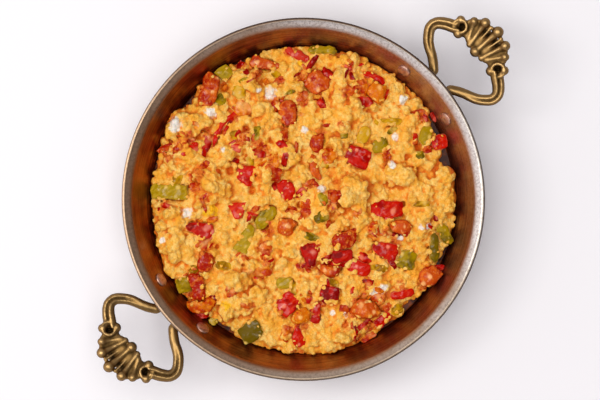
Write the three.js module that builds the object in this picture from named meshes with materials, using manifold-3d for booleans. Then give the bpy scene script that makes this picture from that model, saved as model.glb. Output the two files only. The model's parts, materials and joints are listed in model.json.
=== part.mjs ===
// Menemen (eggs scrambled with tomato and peppers) in its small two-handled pan.
//
// Millimetres, +Z up. The origin is the middle of the pan's flat bottom, on the table.
// The handles lie along +X and -X, and the pan's axis is Z.
import * as THREE from 'three';
import { mergeVertices } from 'three/addons/utils/BufferGeometryUtils.js';
import Module from 'manifold-3d';

const wasm = await Module();
wasm.setup();

// ---------------------------------------------------------------- driving dimensions

const RIM_RADIUS = 100;
const PAN_HEIGHT = 46;
const SHEET = 1.6;
const WALL_SLOPE = THREE.MathUtils.degToRad(60);
const LIP_SLOPE = THREE.MathUtils.degToRad(38);
const LIP_WIDTH = 4;
const CUT_EDGE_WIDTH = 1.5;
const CORNER_RADIUS = 12;
const PAN_SEGMENTS = 44;

const GAP = 0.3;
const SEAT_DEPTH = 16;
const SCRAP_DEPTH = 5;

const RIVET_HEIGHT = 36.5;
const RIVET_HALF_SPACING = 17.7;
const RIVET_HEAD_RADIUS = 3.85;
const RIVET_HEAD_DEPTH = 1.1;
const RIVET_SHANK_RADIUS = 2;
const RIVET_SIDES = 8;
const PAD_THICKNESS = 3;
const PAD_RADIUS = 5.6;

const HANDLE_RISE = THREE.MathUtils.degToRad(17);
const HANDLE_ROOT_X = 98;
const HANDLE_ROOT_Z = 37.4;
const ARM_HALF_WIDTH = [1.3, 2.1, 2.2, 2.3, 2.6, 3.0, 3.5, 3.9];
const ARM_HALF_HEIGHT = [1.6, 2.1, 2.2, 2.3, 2.4, 2.6, 2.8, 3.0];
const ARM_SIDES = 6;
const ARM_STEPS = 10;
const BAR_SIDES = 6;
const GRIP_HALF_WIDTH = 6.4;
const GRIP_HALF_HEIGHT = 3.1;

const MOUND_HEIGHT = 33;
const MOUND_SHOULDER_RADIUS = 64;
const MOUND_EDGE_HEIGHT = 30;
const MOUND_SEGMENTS = 24;
const CURD_LARGEST = 11;
const CURD_SMALLEST = 5;
const CURD_COUNT = 29;
const CURD_DRAWS = 2600;
const PEPPER_SINK = 1.3;
const TOMATO_SINK = 1.2;
const SCRAP_RISE = 1.5;
const CURD_RISE = 4.4;
const CURD_FLATTENING = 0.72;
const FULL_TURN = 2 * Math.PI;

// The photo looks straight down. Its picture of the rim gives the scale, and a piece of the food,
// which lies below the rim, is seen slightly smaller.
const PHOTO_RIM_X = 303.4;
const PHOTO_RIM_Y = 199.4;
const PHOTO_RIM_PIXELS = 182.1;
const PHOTO_TURN = THREE.MathUtils.degToRad(40.7);
const PHOTO_DISTANCE = 900;

const COLOURS = {
  tin: { color: 0xb9a996, roughness: 0.32, metalness: 1 },
  brass: { color: 0x7c5c2a, roughness: 0.38, metalness: 1 },
  rivet: { color: 0xcda591, roughness: 0.35, metalness: 1 },
  egg: { color: 0xefb45c, roughness: 0.55, metalness: 0 },
  red: { color: 0xc81408, roughness: 0.3, metalness: 0 },
  crimson: { color: 0xa50812, roughness: 0.3, metalness: 0 },
  tomato: { color: 0xdc4c1c, roughness: 0.35, metalness: 0 },
  orange: { color: 0xdc8418, roughness: 0.35, metalness: 0 },
  green: { color: 0x8c9614, roughness: 0.35, metalness: 0 },
  olive: { color: 0xa88c1e, roughness: 0.4, metalness: 0 },
};

// ---------------------------------------------------------------- the pieces that lie on the eggs

// px and py are where the piece's middle shows in the photo, in pixels of its 600 by 400 frame.
// long, wide and thick are its size, and turn its heading in the picture, in degrees from the
// right, anticlockwise. bend curves its outline, curl its face, and taper narrows its far end.
const GREEN_PEPPERS = [
  { look: 'green', px: 225, py: 73, long: 8, wide: 7.5, thick: 3, turn: 45 },
  { look: 'green', px: 323, py: 48, long: 15, wide: 5.2, thick: 3.6, turn: -5, bend: -14 },
  { look: 'green', px: 426, py: 135, long: 10, wide: 6.6, thick: 3.4, turn: 80 },
  { look: 'green', px: 380, py: 145, long: 9.5, wide: 7.5, thick: 3, turn: 15 },
  { look: 'green', px: 169, py: 192, long: 21.5, wide: 8.2, thick: 4, turn: -3, curl: 20 },
  { look: 'green', px: 266, py: 218, long: 16, wide: 7.8, thick: 3, turn: 48, curl: 24 },
  { look: 'green', px: 246, py: 239, long: 17, wide: 6.4, thick: 3, turn: 66, bend: 12, taper: 0.3 },
  { look: 'green', px: 407, py: 260, long: 11, wide: 9.5, thick: 3.4, turn: 75 },
  { look: 'green', px: 435, py: 248, long: 16, wide: 5.2, thick: 3.4, turn: 90 },
  { look: 'green', px: 447, py: 235, long: 11.5, wide: 6.2, thick: 3, turn: -62 },
  { look: 'green', px: 285, py: 283, long: 11, wide: 6, thick: 3, turn: 2 },
  { look: 'green', px: 178, py: 289, long: 9.2, wide: 8.4, thick: 3.6, turn: 20 },
  { look: 'green', px: 248, py: 338, long: 13.5, wide: 10, thick: 4, turn: 38 },
  { look: 'olive', px: 388, py: 122, long: 14.5, wide: 4.6, thick: 3, turn: -3 },
  { look: 'olive', px: 364, py: 135, long: 10, wide: 7, thick: 3, turn: 80 },
];

const RED_PEPPERS = [
  { look: 'tomato', px: 265, py: 64, long: 17, wide: 6.4, thick: 3.4, turn: -14, taper: 0.25 },
  { look: 'crimson', px: 297, py: 50, long: 15.5, wide: 4.6, thick: 3, turn: -31 },
  { look: 'red', px: 375, py: 77, long: 12.5, wide: 4.4, thick: 3.4, turn: -25, bend: -20 },
  { look: 'red', px: 440, py: 143, long: 9, wide: 8, thick: 4, turn: 20 },
  { look: 'crimson', px: 200, py: 229, long: 15, wide: 7, thick: 3, turn: -10, taper: -0.4 },
  { look: 'red', px: 246, py: 175, long: 11.8, wide: 10, thick: 3.6, turn: -20 },
  { look: 'red', px: 238, py: 211, long: 9, wide: 7.6, thick: 3.2, turn: -80, taper: 0.6 },
  { look: 'red', px: 287, py: 190, long: 12, wide: 8.4, thick: 3.6, turn: -66, curl: 22 },
  { look: 'tomato', px: 314, py: 168, long: 14.5, wide: 4, thick: 3, turn: -72, bend: 14 },
  { look: 'red', px: 358, py: 157, long: 14.5, wide: 10.5, thick: 3.8, turn: -22 },
  { look: 'crimson', px: 309, py: 255, long: 14.6, wide: 8.4, thick: 3.6, turn: -84, taper: 0.35 },
  { look: 'red', px: 388, py: 209, long: 18.5, wide: 9.6, thick: 3.8, turn: -4, curl: 26 },
  { look: 'red', px: 385, py: 250, long: 14.5, wide: 9, thick: 3.8, turn: -14, taper: -0.3 },
  { look: 'crimson', px: 343, py: 256, long: 11.5, wide: 6.6, thick: 3.4, turn: 4 },
  { look: 'red', px: 358, py: 268, long: 13.5, wide: 7, thick: 3.4, turn: -18 },
  { look: 'red', px: 288, py: 304, long: 12.4, wide: 11, thick: 4, turn: 45 },
  { look: 'crimson', px: 330, py: 294, long: 10.6, wide: 9.6, thick: 3.8, turn: -8 },
  { look: 'crimson', px: 316, py: 313, long: 11.6, wide: 5.2, thick: 3.4, turn: 76 },
  { look: 'red', px: 299, py: 337, long: 12, wide: 6, thick: 3.4, turn: -82, taper: -0.3 },
  { look: 'red', px: 383, py: 320, long: 10, wide: 5.4, thick: 3.6, turn: 42 },
  { look: 'red', px: 403, py: 294, long: 13.5, wide: 4.4, thick: 3.4, turn: 12 },
  { look: 'red', px: 221, py: 125, long: 23, wide: 2.8, thick: 2.6, turn: 54, bend: -48 },
];

// The tomato pieces are thicker and rounder than the peppers.
const TOMATOES = [
  { look: 'tomato', px: 206, py: 87, long: 19, wide: 10.5, thick: 7, turn: 76 },
  { look: 'tomato', px: 316, py: 83, long: 14, wide: 12, thick: 6, turn: 40 },
  { look: 'tomato', px: 288, py: 113, long: 16, wide: 9, thick: 5.5, turn: -80 },
  { look: 'tomato', px: 317, py: 143, long: 10.5, wide: 8, thick: 5.5, turn: 85 },
  { look: 'orange', px: 377, py: 91, long: 11.5, wide: 10.5, thick: 7, turn: 60 },
  { look: 'tomato', px: 287, py: 227, long: 12, wide: 9, thick: 5.5, turn: -12 },
  { look: 'tomato', px: 345, py: 239, long: 14.5, wide: 9, thick: 5.5, turn: 30 },
  { look: 'tomato', px: 400, py: 227, long: 12.5, wide: 8.4, thick: 5.5, turn: -10 },
  { look: 'tomato', px: 329, py: 270, long: 12, wide: 7.6, thick: 5, turn: -14 },
  { look: 'orange', px: 301, py: 316, long: 12, wide: 8.4, thick: 5.5, turn: 10 },
  { look: 'tomato', px: 206, py: 263, long: 10, wide: 8.6, thick: 5.5, turn: 80 },
  { look: 'tomato', px: 196, py: 287, long: 15, wide: 9.4, thick: 6.5, turn: -86 },
  { look: 'orange', px: 198, py: 308, long: 15, wide: 10, thick: 7, turn: -8 },
  { look: 'tomato', px: 366, py: 310, long: 18.5, wide: 11, thick: 6.5, turn: -8 },
  { look: 'tomato', px: 433, py: 277, long: 13.5, wide: 10.5, thick: 6.5, turn: 32 },
];

// Small scraps of pepper and tomato skin, joined to the eggs that hold them.
const SCRAPS = [
  { px: 243, py: 110, long: 9, wide: 8, turn: 20 },
  { px: 312, py: 63, long: 9, wide: 2.6, turn: 56 },
  { px: 328, py: 75, long: 9, wide: 5.5, turn: -42 },
  { px: 349, py: 92, long: 8, wide: 4.6, turn: -52 },
  { px: 364, py: 102, long: 8, wide: 6, turn: 5 },
  { px: 285, py: 160, long: 8.4, wide: 4.2, turn: 80 },
  { px: 330, py: 156, long: 9, wide: 7.4, turn: 90 },
  { px: 334, py: 197, long: 7, wide: 6.6, turn: 0 },
  { px: 311, py: 237, long: 9, wide: 4.4, turn: -26 },
  { px: 421, py: 204, long: 9.6, wide: 3.6, turn: 0 },
  { px: 223, py: 266, long: 9.6, wide: 5.4, turn: -4 },
  { px: 397, py: 310, long: 6.4, wide: 5.4, turn: 80 },
  { px: 359, py: 328, long: 13, wide: 2.6, turn: 38 },
];

// ---------------------------------------------------------------- solids

/** A closed manifold solid from a three.js geometry, with its faces out. */
function solid(geometry) {
  const bare = geometry.clone();
  bare.deleteAttribute('normal');
  bare.deleteAttribute('uv');
  const merged = mergeVertices(bare, 1e-4);
  const index = Array.from(merged.index.array);
  const corners = [];
  for (let i = 0; i < index.length; i += 3) {
    const [a, b, c] = index.slice(i, i + 3);
    if (a !== b && b !== c && c !== a) corners.push(a, b, c);
  }
  return new wasm.Manifold(new wasm.Mesh({
    numProp: 3,
    vertProperties: new Float32Array(merged.attributes.position.array),
    triVerts: new Uint32Array(corners),
  }));
}

/** The three.js geometry of a manifold solid. */
function geometryOf(body) {
  const mesh = body.getMesh();
  const geometry = new THREE.BufferGeometry();
  geometry.setAttribute('position', new THREE.BufferAttribute(new Float32Array(mesh.vertProperties), 3));
  geometry.setIndex(Array.from(mesh.triVerts));
  geometry.computeVertexNormals();
  return geometry;
}

/** The union of several solids. */
function joined(bodies) {
  return bodies.reduce((all, body) => all.add(body));
}

/** The largest single body of a solid: loose scraps and sealed hollows are dropped. */
function largestBody(body) {
  return body.decompose().reduce((best, next) => (next.volume() > best.volume() ? next : best));
}

/** Repeatable numbers from 0 to 1, always the same for one seed. */
function seededDraw(seed) {
  let state = seed >>> 0;
  return () => {
    state = (state + 0x6d2b79f5) >>> 0;
    let mixed = Math.imul(state ^ (state >>> 15), 1 | state);
    mixed = (mixed + Math.imul(mixed ^ (mixed >>> 7), 61 | mixed)) ^ mixed;
    return ((mixed ^ (mixed >>> 14)) >>> 0) / 4294967296;
  };
}

/** Moves every corner of a geometry by a function of its place. */
function reshape(geometry, move) {
  const places = geometry.attributes.position;
  const point = new THREE.Vector3();
  for (let i = 0; i < places.count; i += 1) {
    point.fromBufferAttribute(places, i);
    move(point);
    places.setXYZ(i, point.x, point.y, point.z);
  }
  return geometry;
}

// ---------------------------------------------------------------- the pan

const wallRun = 1 / Math.tan(WALL_SLOPE);
const lipFootRadius = RIM_RADIUS - CUT_EDGE_WIDTH - LIP_WIDTH;
const lipFootHeight = PAN_HEIGHT - LIP_WIDTH * Math.tan(LIP_SLOPE);

/** Radius of the pan's inner wall at a height. */
function wallRadius(z) {
  return lipFootRadius - (lipFootHeight - z) * wallRun;
}

/** The line of the pan's inner face from the axis to the lip, moved outward by a distance. */
function panLine(outward) {
  const cornerFoot = wallRadius(SHEET) - CORNER_RADIUS * Math.tan(WALL_SLOPE / 2);
  const bend = (WALL_SLOPE + LIP_SLOPE) / 2;
  const bendShift = outward / Math.cos((WALL_SLOPE - LIP_SLOPE) / 2);
  const down = -Math.PI / 2;
  const arc = new THREE.Path();
  arc.absarc(cornerFoot, SHEET + CORNER_RADIUS, CORNER_RADIUS + outward, down, down + WALL_SLOPE);
  return [
    new THREE.Vector2(0, SHEET - outward),
    ...arc.getPoints(3),
    new THREE.Vector2(lipFootRadius + bendShift * Math.sin(bend), lipFootHeight - bendShift * Math.cos(bend)),
  ];
}

/** Half of the pan's section as a closed outline: outside, rounded cut edge, inside. */
function panSection() {
  const edge = [
    new THREE.Vector2(RIM_RADIUS - 0.5, PAN_HEIGHT - 1.3),
    new THREE.Vector2(RIM_RADIUS, PAN_HEIGHT - 0.9),
    new THREE.Vector2(RIM_RADIUS - 0.25, PAN_HEIGHT - 0.35),
    new THREE.Vector2(RIM_RADIUS - CUT_EDGE_WIDTH, PAN_HEIGHT),
  ];
  return [...panLine(SHEET), ...edge, ...panLine(0).reverse()];
}

/** A solid of revolution about Z. */
function turned(points, segments) {
  const lathe = new THREE.LatheGeometry(points, segments);
  lathe.rotateX(Math.PI / 2);
  return solid(lathe);
}

// ---------------------------------------------------------------- the rivets

/** The frame of a rivet: its Z axis runs out through the wall, from a point on the inner face. */
function rivetFrame(side, end) {
  const radius = wallRadius(RIVET_HEIGHT);
  const heading = Math.asin((side * RIVET_HALF_SPACING) / radius) + (end < 0 ? Math.PI : 0);
  const across = new THREE.Vector3(-Math.sin(heading), Math.cos(heading), 0);
  const out = new THREE.Vector3(Math.cos(heading), Math.sin(heading), 0)
    .multiplyScalar(Math.sin(WALL_SLOPE))
    .setZ(-Math.cos(WALL_SLOPE));
  const frame = new THREE.Matrix4().makeBasis(across, new THREE.Vector3().crossVectors(out, across), out);
  return frame.setPosition(radius * Math.cos(heading), radius * Math.sin(heading), RIVET_HEIGHT);
}

/** A straight hole for a rivet's shank, through the wall and the pad. */
function rivetHole(frame) {
  const hole = new THREE.CylinderGeometry(
    RIVET_SHANK_RADIUS + GAP, RIVET_SHANK_RADIUS + GAP, 4 * PAD_THICKNESS, RIVET_SIDES,
  );
  return solid(hole.rotateX(Math.PI / 2).applyMatrix4(frame));
}

/** A rivet: a low domed head inside, the shank, and a button outside the pad. */
function rivetBody(frame) {
  const inner = -GAP;
  const outer = SHEET + PAD_THICKNESS + 2 * GAP;
  const profile = [
    new THREE.Vector2(0, inner - RIVET_HEAD_DEPTH),
    new THREE.Vector2(0.6 * RIVET_HEAD_RADIUS, inner - 0.85 * RIVET_HEAD_DEPTH),
    new THREE.Vector2(RIVET_HEAD_RADIUS, inner - 0.3 * RIVET_HEAD_DEPTH),
    new THREE.Vector2(RIVET_HEAD_RADIUS, inner),
    new THREE.Vector2(RIVET_SHANK_RADIUS, inner),
    new THREE.Vector2(RIVET_SHANK_RADIUS, outer),
    new THREE.Vector2(0.9 * RIVET_HEAD_RADIUS, outer),
    new THREE.Vector2(0.6 * RIVET_HEAD_RADIUS, outer + RIVET_HEAD_DEPTH),
    new THREE.Vector2(0, outer + 1.2 * RIVET_HEAD_DEPTH),
  ];
  const lathe = new THREE.LatheGeometry(profile, RIVET_SIDES).rotateX(Math.PI / 2);
  return solid(lathe.applyMatrix4(frame));
}

// ---------------------------------------------------------------- the handles

/** Height of the handle's middle plane at a distance from the pan's axis. */
function handlePlane(x) {
  return HANDLE_ROOT_Z + (x - HANDLE_ROOT_X) * Math.tan(HANDLE_RISE);
}

/** A value read along a row of evenly spaced values. */
function along(values, t) {
  const place = THREE.MathUtils.clamp(t, 0, 1) * (values.length - 1);
  const low = Math.min(Math.floor(place), values.length - 2);
  return THREE.MathUtils.lerp(values[low], values[low + 1], place - low);
}

/** An upright cylinder bent along a curve, oval, with its half width and half height set along it. */
function bentRod(points, halfWidths, halfHeights, sides, steps) {
  const curve = new THREE.CatmullRomCurve3(points, false, 'centripetal');
  const rod = new THREE.CylinderGeometry(1, 1, 1, sides, steps);
  const side = new THREE.Vector3();
  const up = new THREE.Vector3();
  return solid(reshape(rod, (point) => {
    const t = point.y + 0.5;
    const heading = curve.getTangentAt(t);
    side.set(0, 0, 1).cross(heading).normalize();
    up.crossVectors(heading, side);
    const across = side.multiplyScalar(point.x * along(halfWidths, t));
    const lift = up.multiplyScalar(-point.z * along(halfHeights, t));
    point.copy(curve.getPointAt(t)).add(across).add(lift);
  }));
}

/** A bar between two places of the handle's middle plane, with a ball at each end. */
function ribBar(from, to, radius, fromBall, toBall) {
  const a = new THREE.Vector3(from[0], from[1], handlePlane(from[0]));
  const b = new THREE.Vector3(to[0], to[1], handlePlane(to[0]));
  const span = new THREE.Vector3().subVectors(b, a);
  const length = span.length();
  const profile = [
    new THREE.Vector2(0, -fromBall),
    new THREE.Vector2(0.9 * fromBall, -0.44 * fromBall),
    new THREE.Vector2(radius, 0.9 * fromBall),
    new THREE.Vector2(radius, length - 0.9 * toBall),
    new THREE.Vector2(toBall, length),
    new THREE.Vector2(0.7 * toBall, length + 0.7 * toBall),
    new THREE.Vector2(0, length + toBall),
  ];
  const swing = new THREE.Quaternion().setFromUnitVectors(new THREE.Vector3(0, 1, 0), span.normalize());
  const lathe = new THREE.LatheGeometry(profile, BAR_SIDES).applyQuaternion(swing);
  return solid(lathe.translate(a.x, a.y, a.z));
}

// The arm's middle line, from the rivet's pad under the lip, out round the bow to the collar.
const ARM_FOOT = [[92.6, 18.4, 36.4], [94.9, 13.2, 36.7], [97.6, 8.6, 37.2]];
const ARM_BOW = [
  [100.9, 6.9], [102.7, 8.9], [105.6, 13.7], [107.9, 18.9], [110.1, 22.2],
  [114.8, 26.1], [118.6, 25.9], [122, 22.6], [125, 17.7], [126.9, 15.6],
];
const GRIP_LINE = [[126.4, 15.2], [129.2, 10.8], [131.4, 5.6], [132.2, 0]];

// The grip's ribs fan out from the middle one, and the last is the collar: each has its inner and
// outer end and the radii of its bar and its two balls.
const RIBS = [
  { from: [124.6, 0], to: [140.2, 0], bar: 2.6, inner: 3.1, outer: 3.3 },
  { from: [124.9, 5], to: [138.3, 8.3], bar: 2.1, inner: 2, outer: 3 },
  { from: [125.8, 7.3], to: [134.5, 12.9], bar: 1.9, inner: 1.8, outer: 2.6 },
  { from: [124.3, 13.5], to: [128.9, 17.8], bar: 2.9, inner: 2.8, outer: 2.9 },
];

/** One rib of the grip, or the collar that ends it, after a change of its places. */
function ribOf(rib, change) {
  return ribBar(change(rib.from), change(rib.to), rib.bar, rib.inner, rib.outer);
}

/** One half of the handle, on the side of +Y or of -Y. */
function handleHalf(side) {
  const mirror = ([x, y]) => [x, side * y];
  const lifted = (points) => points.map(([x, y, z]) => new THREE.Vector3(x, side * y, z ?? handlePlane(x)));
  const frame = rivetFrame(side, 1);
  const pad = new THREE.CylinderGeometry(0.86 * PAD_RADIUS, PAD_RADIUS, PAD_THICKNESS, RIVET_SIDES)
    .rotateX(Math.PI / 2)
    .translate(0, 0, SHEET + GAP + PAD_THICKNESS / 2)
    .applyMatrix4(frame);
  const ribs = RIBS.slice(1).map((rib) => ribOf(rib, mirror));
  return joined([
    bentRod(lifted([...ARM_FOOT, ...ARM_BOW]), ARM_HALF_WIDTH, ARM_HALF_HEIGHT, ARM_SIDES, ARM_STEPS),
    bentRod(lifted(GRIP_LINE), [3, 5.2, GRIP_HALF_WIDTH, 6.8], [2.6, GRIP_HALF_HEIGHT], ARM_SIDES, 3),
    solid(pad),
    ...ribs,
  ]);
}

/** The whole cast handle on the pan's +X side. */
function handleBody() {
  const cast = joined([handleHalf(1), handleHalf(-1), ribOf(RIBS[0], (place) => place)]);
  const holes = joined([rivetHole(rivetFrame(1, 1)), rivetHole(rivetFrame(-1, 1))]);
  return cast.subtract(holes);
}

// ---------------------------------------------------------------- the food

/** Height of the bare mound of eggs over a place. */
function moundHeight(x, y) {
  const radius = Math.hypot(x, y);
  const wave = 0.9 * Math.sin(x / 13 + 1.1) + 0.8 * Math.sin(y / 11 - 0.4) + 0.7 * Math.sin((x - y) / 17);
  const edge = wallRadius(MOUND_EDGE_HEIGHT) - 2 * GAP;
  const fall = THREE.MathUtils.smoothstep(radius, MOUND_SHOULDER_RADIUS, edge);
  return MOUND_HEIGHT + wave * (1 - fall) - (MOUND_HEIGHT - MOUND_EDGE_HEIGHT) * fall * fall;
}

/** The mound without its curds: a disc whose top face follows the mound's height. */
function moundCore() {
  const edge = wallRadius(MOUND_EDGE_HEIGHT) - 2 * GAP;
  const rings = [0.97, 0.86, 0.68, 0.36, 0];
  const side = panLine(-1.5 * GAP).filter((point) => point.y < MOUND_EDGE_HEIGHT);
  const top = rings.map((share) => new THREE.Vector2(share * edge, MOUND_EDGE_HEIGHT + 1));
  const brim = new THREE.Vector2(edge, MOUND_EDGE_HEIGHT);
  const lathe = new THREE.LatheGeometry([...side, brim, ...top], MOUND_SEGMENTS).rotateX(Math.PI / 2);
  return solid(reshape(lathe, (point) => {
    if (point.z > MOUND_EDGE_HEIGHT + 0.5) point.z = moundHeight(point.x, point.y);
  }));
}

/** The place in the pan, at a height, of something seen at a pixel of the photo. */
function placeOf(px, py, z) {
  const scale = (RIM_RADIUS / PHOTO_RIM_PIXELS) * (1 + (PAN_HEIGHT - z) / PHOTO_DISTANCE);
  const right = (px - PHOTO_RIM_X) * scale;
  const up = (PHOTO_RIM_Y - py) * scale;
  const [c, s] = [Math.cos(PHOTO_TURN), Math.sin(PHOTO_TURN)];
  return new THREE.Vector2(c * right + s * up, c * up - s * right);
}

/** The level way that a topping is turned and tilted where it lies, as a matrix. */
function restingFrame(piece, lift) {
  const at = placeOf(piece.px, piece.py, MOUND_HEIGHT);
  const reach = Math.min(at.length(), MOUND_SHOULDER_RADIUS + 12);
  const seat = at.clone().setLength(reach);
  const step = 4;
  const slopeX = (moundHeight(seat.x + step, seat.y) - moundHeight(seat.x - step, seat.y)) / (2 * step);
  const slopeY = (moundHeight(seat.x, seat.y + step) - moundHeight(seat.x, seat.y - step)) / (2 * step);
  const normal = new THREE.Vector3(-0.6 * slopeX, -0.6 * slopeY, 1).normalize();
  const heading = THREE.MathUtils.degToRad(piece.turn) - PHOTO_TURN;
  const along = new THREE.Vector3(Math.cos(heading), Math.sin(heading), 0);
  const across = new THREE.Vector3().crossVectors(normal, along).normalize();
  along.crossVectors(across, normal);
  const frame = new THREE.Matrix4().makeBasis(along, across, normal);
  return frame.setPosition(at.x, at.y, moundHeight(seat.x, seat.y) + lift);
}

/** Bends and tapers a point of a flat piece: bend within its face, curl out of it. */
function bendPoint(point, piece, long) {
  const t = (2 * point.x) / long;
  point.y *= 1 - (piece.taper ?? 0) * t;
  const bend = THREE.MathUtils.degToRad(piece.bend ?? 0) * t;
  const curl = THREE.MathUtils.degToRad(piece.curl ?? 12) * t;
  point.y += 0.25 * long * Math.sin(bend) * t;
  point.z -= 0.25 * long * Math.sin(curl) * t;
}

/** A piece cut from a pepper's wall: a slab with rounded corners, bowed to one side. */
function pepperShape(piece) {
  const { long, wide, thick } = piece;
  const steps = long > 1.6 * wide ? [4, 2] : [3, 2];
  const slab = new THREE.BoxGeometry(2, 2, 1, steps[0], steps[1], 1);
  const ripple = seededDraw(Math.round(piece.px * 7 + piece.py));
  const [phaseA, phaseB] = [FULL_TURN * ripple(), FULL_TURN * ripple()];
  return reshape(slab, (point) => {
    const corner = 1 - 0.16 * point.x * point.x * point.y * point.y;
    const edge = 1 + 0.06 * Math.sin(3.1 * point.x + phaseA) + 0.05 * Math.sin(3.7 * point.y + phaseB);
    point.x *= (long / 2) * corner * edge;
    point.y *= (wide / 2) * corner * edge;
    const crown = 1 - 0.3 * (4 * point.y * point.y) / (wide * wide);
    point.z *= thick * (point.z > 0 ? crown : 1);
    bendPoint(point, piece, long);
  });
}

/** A soft lump of tomato: a flattened ball with an uneven skin. */
function tomatoShape(piece) {
  const lump = new THREE.IcosahedronGeometry(1, 1);
  const ripple = seededDraw(Math.round(piece.px * 5 + piece.py));
  const [phaseA, phaseB, phaseC] = [FULL_TURN * ripple(), FULL_TURN * ripple(), FULL_TURN * ripple()];
  return reshape(lump, (point) => {
    const square = 1 + 0.55 * point.x * point.x * point.y * point.y;
    const edge = 1 + 0.1 * Math.sin(3.3 * point.x + phaseA) + 0.08 * Math.sin(4.1 * point.y + phaseB)
      + 0.05 * Math.sin(5 * point.z + phaseC);
    point.multiplyScalar(edge);
    point.x *= (piece.long / 2) * square;
    point.y *= (piece.wide / 2) * square;
    point.z *= piece.thick / 2;
  });
}

/** How far a placed shape must move towards the axis to keep its gap to the pan's wall. */
function wallCrossing(geometry) {
  const places = geometry.attributes.position;
  let crossing = 0;
  for (let i = 0; i < places.count; i += 1) {
    const radius = Math.hypot(places.getX(i), places.getY(i));
    crossing = Math.max(crossing, radius - wallRadius(places.getZ(i)) + 2 * GAP);
  }
  return crossing;
}

/** The move towards the axis that keeps a shape at a place clear of the pan's wall. */
function inwardNudge(geometry, x, y) {
  return new THREE.Vector3(x, y, 0).setLength(wallCrossing(geometry)).negate();
}

/** A topping as it lies, with its seat: a box round its underside, open above it. */
function placedTopping(piece, shapeOf, sunk) {
  const frame = restingFrame(piece, piece.thick / 2 - sunk);
  const shape = shapeOf(piece);
  shape.computeBoundingBox();
  const { min, max } = shape.boundingBox;
  const seat = new THREE.BoxGeometry(max.x - min.x + 2 * GAP, max.y - min.y + 2 * GAP, SEAT_DEPTH);
  seat.translate((min.x + max.x) / 2, (min.y + max.y) / 2, min.z - GAP + SEAT_DEPTH / 2).applyMatrix4(frame);
  const body = shape.applyMatrix4(frame);
  const centre = new THREE.Vector3().setFromMatrixPosition(frame);
  const nudge = inwardNudge(body, centre.x, centre.y);
  for (const geometry of [body, seat]) geometry.translate(nudge.x, nudge.y, 0);
  return { ...piece, at: centre.add(nudge), body: solid(body), seat: solid(seat) };
}

/** The pieces of one kind, named by the kind and their number. */
function numbered(kind, pieces) {
  return pieces.map((piece, i) => ({ name: `${kind}_${String(i + 1).padStart(2, '0')}`, ...piece }));
}

/** All the toppings, each cut back where an earlier one already lies. */
function placedToppings() {
  const peppers = [...numbered('pepper_green', GREEN_PEPPERS), ...numbered('pepper_red', RED_PEPPERS)];
  const placed = [
    ...peppers.map((piece) => placedTopping(piece, pepperShape, PEPPER_SINK)),
    ...numbered('tomato', TOMATOES).map((piece) => placedTopping(piece, tomatoShape, TOMATO_SINK)),
  ];
  const seats = joined(placed.map((topping) => topping.seat));
  for (const [i, topping] of placed.entries()) {
    const nearby = placed.slice(0, i).filter((other) => topping.body.intersect(other.seat).volume() > 0);
    for (const other of nearby) topping.body = largestBody(topping.body.subtract(other.seat));
  }
  return { placed, seats };
}

/** How far a place is, in plan, from the edge of a topping. */
function distanceTo(topping, x, y) {
  const heading = THREE.MathUtils.degToRad(topping.turn) - PHOTO_TURN;
  const [dx, dy] = [x - topping.at.x, y - topping.at.y];
  const along = Math.abs(dx * Math.cos(heading) + dy * Math.sin(heading)) - topping.long / 2;
  const across = Math.abs(dy * Math.cos(heading) - dx * Math.sin(heading)) - topping.wide / 2;
  return Math.hypot(Math.max(along, 0), Math.max(across, 0)) + Math.min(Math.max(along, across), 0);
}

/** The curds: the largest first, each in the room that the toppings and earlier curds leave. */
function curdPlaces(toppings) {
  const draw = seededDraw(20);
  const spread = wallRadius(MOUND_EDGE_HEIGHT) - 2;
  const places = [];
  for (let i = 0; i < CURD_DRAWS; i += 1) {
    const radius = spread * Math.sqrt(draw());
    const heading = FULL_TURN * draw();
    places.push({ x: radius * Math.cos(heading), y: radius * Math.sin(heading), lean: draw() });
  }
  const room = ({ x, y }) => Math.min(...toppings.map((topping) => distanceTo(topping, x, y))) + 1;
  const free = places.map((place) => ({ ...place, room: Math.min(room(place), CURD_LARGEST) }));
  free.sort((a, b) => b.room - a.room);
  const curds = [];
  for (const place of free) {
    const size = place.room * (0.82 + 0.18 * place.lean);
    const apart = (other) => Math.hypot(place.x - other.x, place.y - other.y) > 0.72 * (size + other.size);
    const wanted = size > CURD_SMALLEST && curds.length < CURD_COUNT;
    if (wanted && curds.every(apart)) curds.push({ ...place, size });
  }
  return curds;
}

/** A curd: a lumpy ball, flatter than it is wide, half sunk in the mound. */
function curdBody(curd, seed) {
  const draw = seededDraw(seed);
  const lump = new THREE.IcosahedronGeometry(curd.size, 1);
  const [phaseA, phaseB, phaseC] = [FULL_TURN * draw(), FULL_TURN * draw(), FULL_TURN * draw()];
  const pitch = 2.6 / curd.size;
  reshape(lump, (point) => {
    const edge = 1 + 0.12 * Math.sin(pitch * point.x + phaseA) + 0.12 * Math.sin(pitch * point.y + phaseB)
      + 0.08 * Math.sin(1.4 * pitch * point.z + phaseC);
    point.multiplyScalar(edge);
    point.z *= CURD_FLATTENING;
  });
  const sink = CURD_FLATTENING * curd.size - CURD_RISE + 1.6 * draw();
  lump.translate(curd.x, curd.y, moundHeight(curd.x, curd.y) - sink);
  return solid(lump.translate(...inwardNudge(lump, curd.x, curd.y)));
}

/** A small scrap, flat on the mound or on the curd that lies there. */
function scrapBody(scrap) {
  const flat = new THREE.BoxGeometry(scrap.long, scrap.wide, SCRAP_DEPTH);
  const frame = restingFrame(scrap, SCRAP_RISE - SCRAP_DEPTH / 2);
  flat.applyMatrix4(frame);
  const centre = new THREE.Vector3().setFromMatrixPosition(frame);
  return solid(flat.translate(...inwardNudge(flat, centre.x, centre.y)));
}

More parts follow.
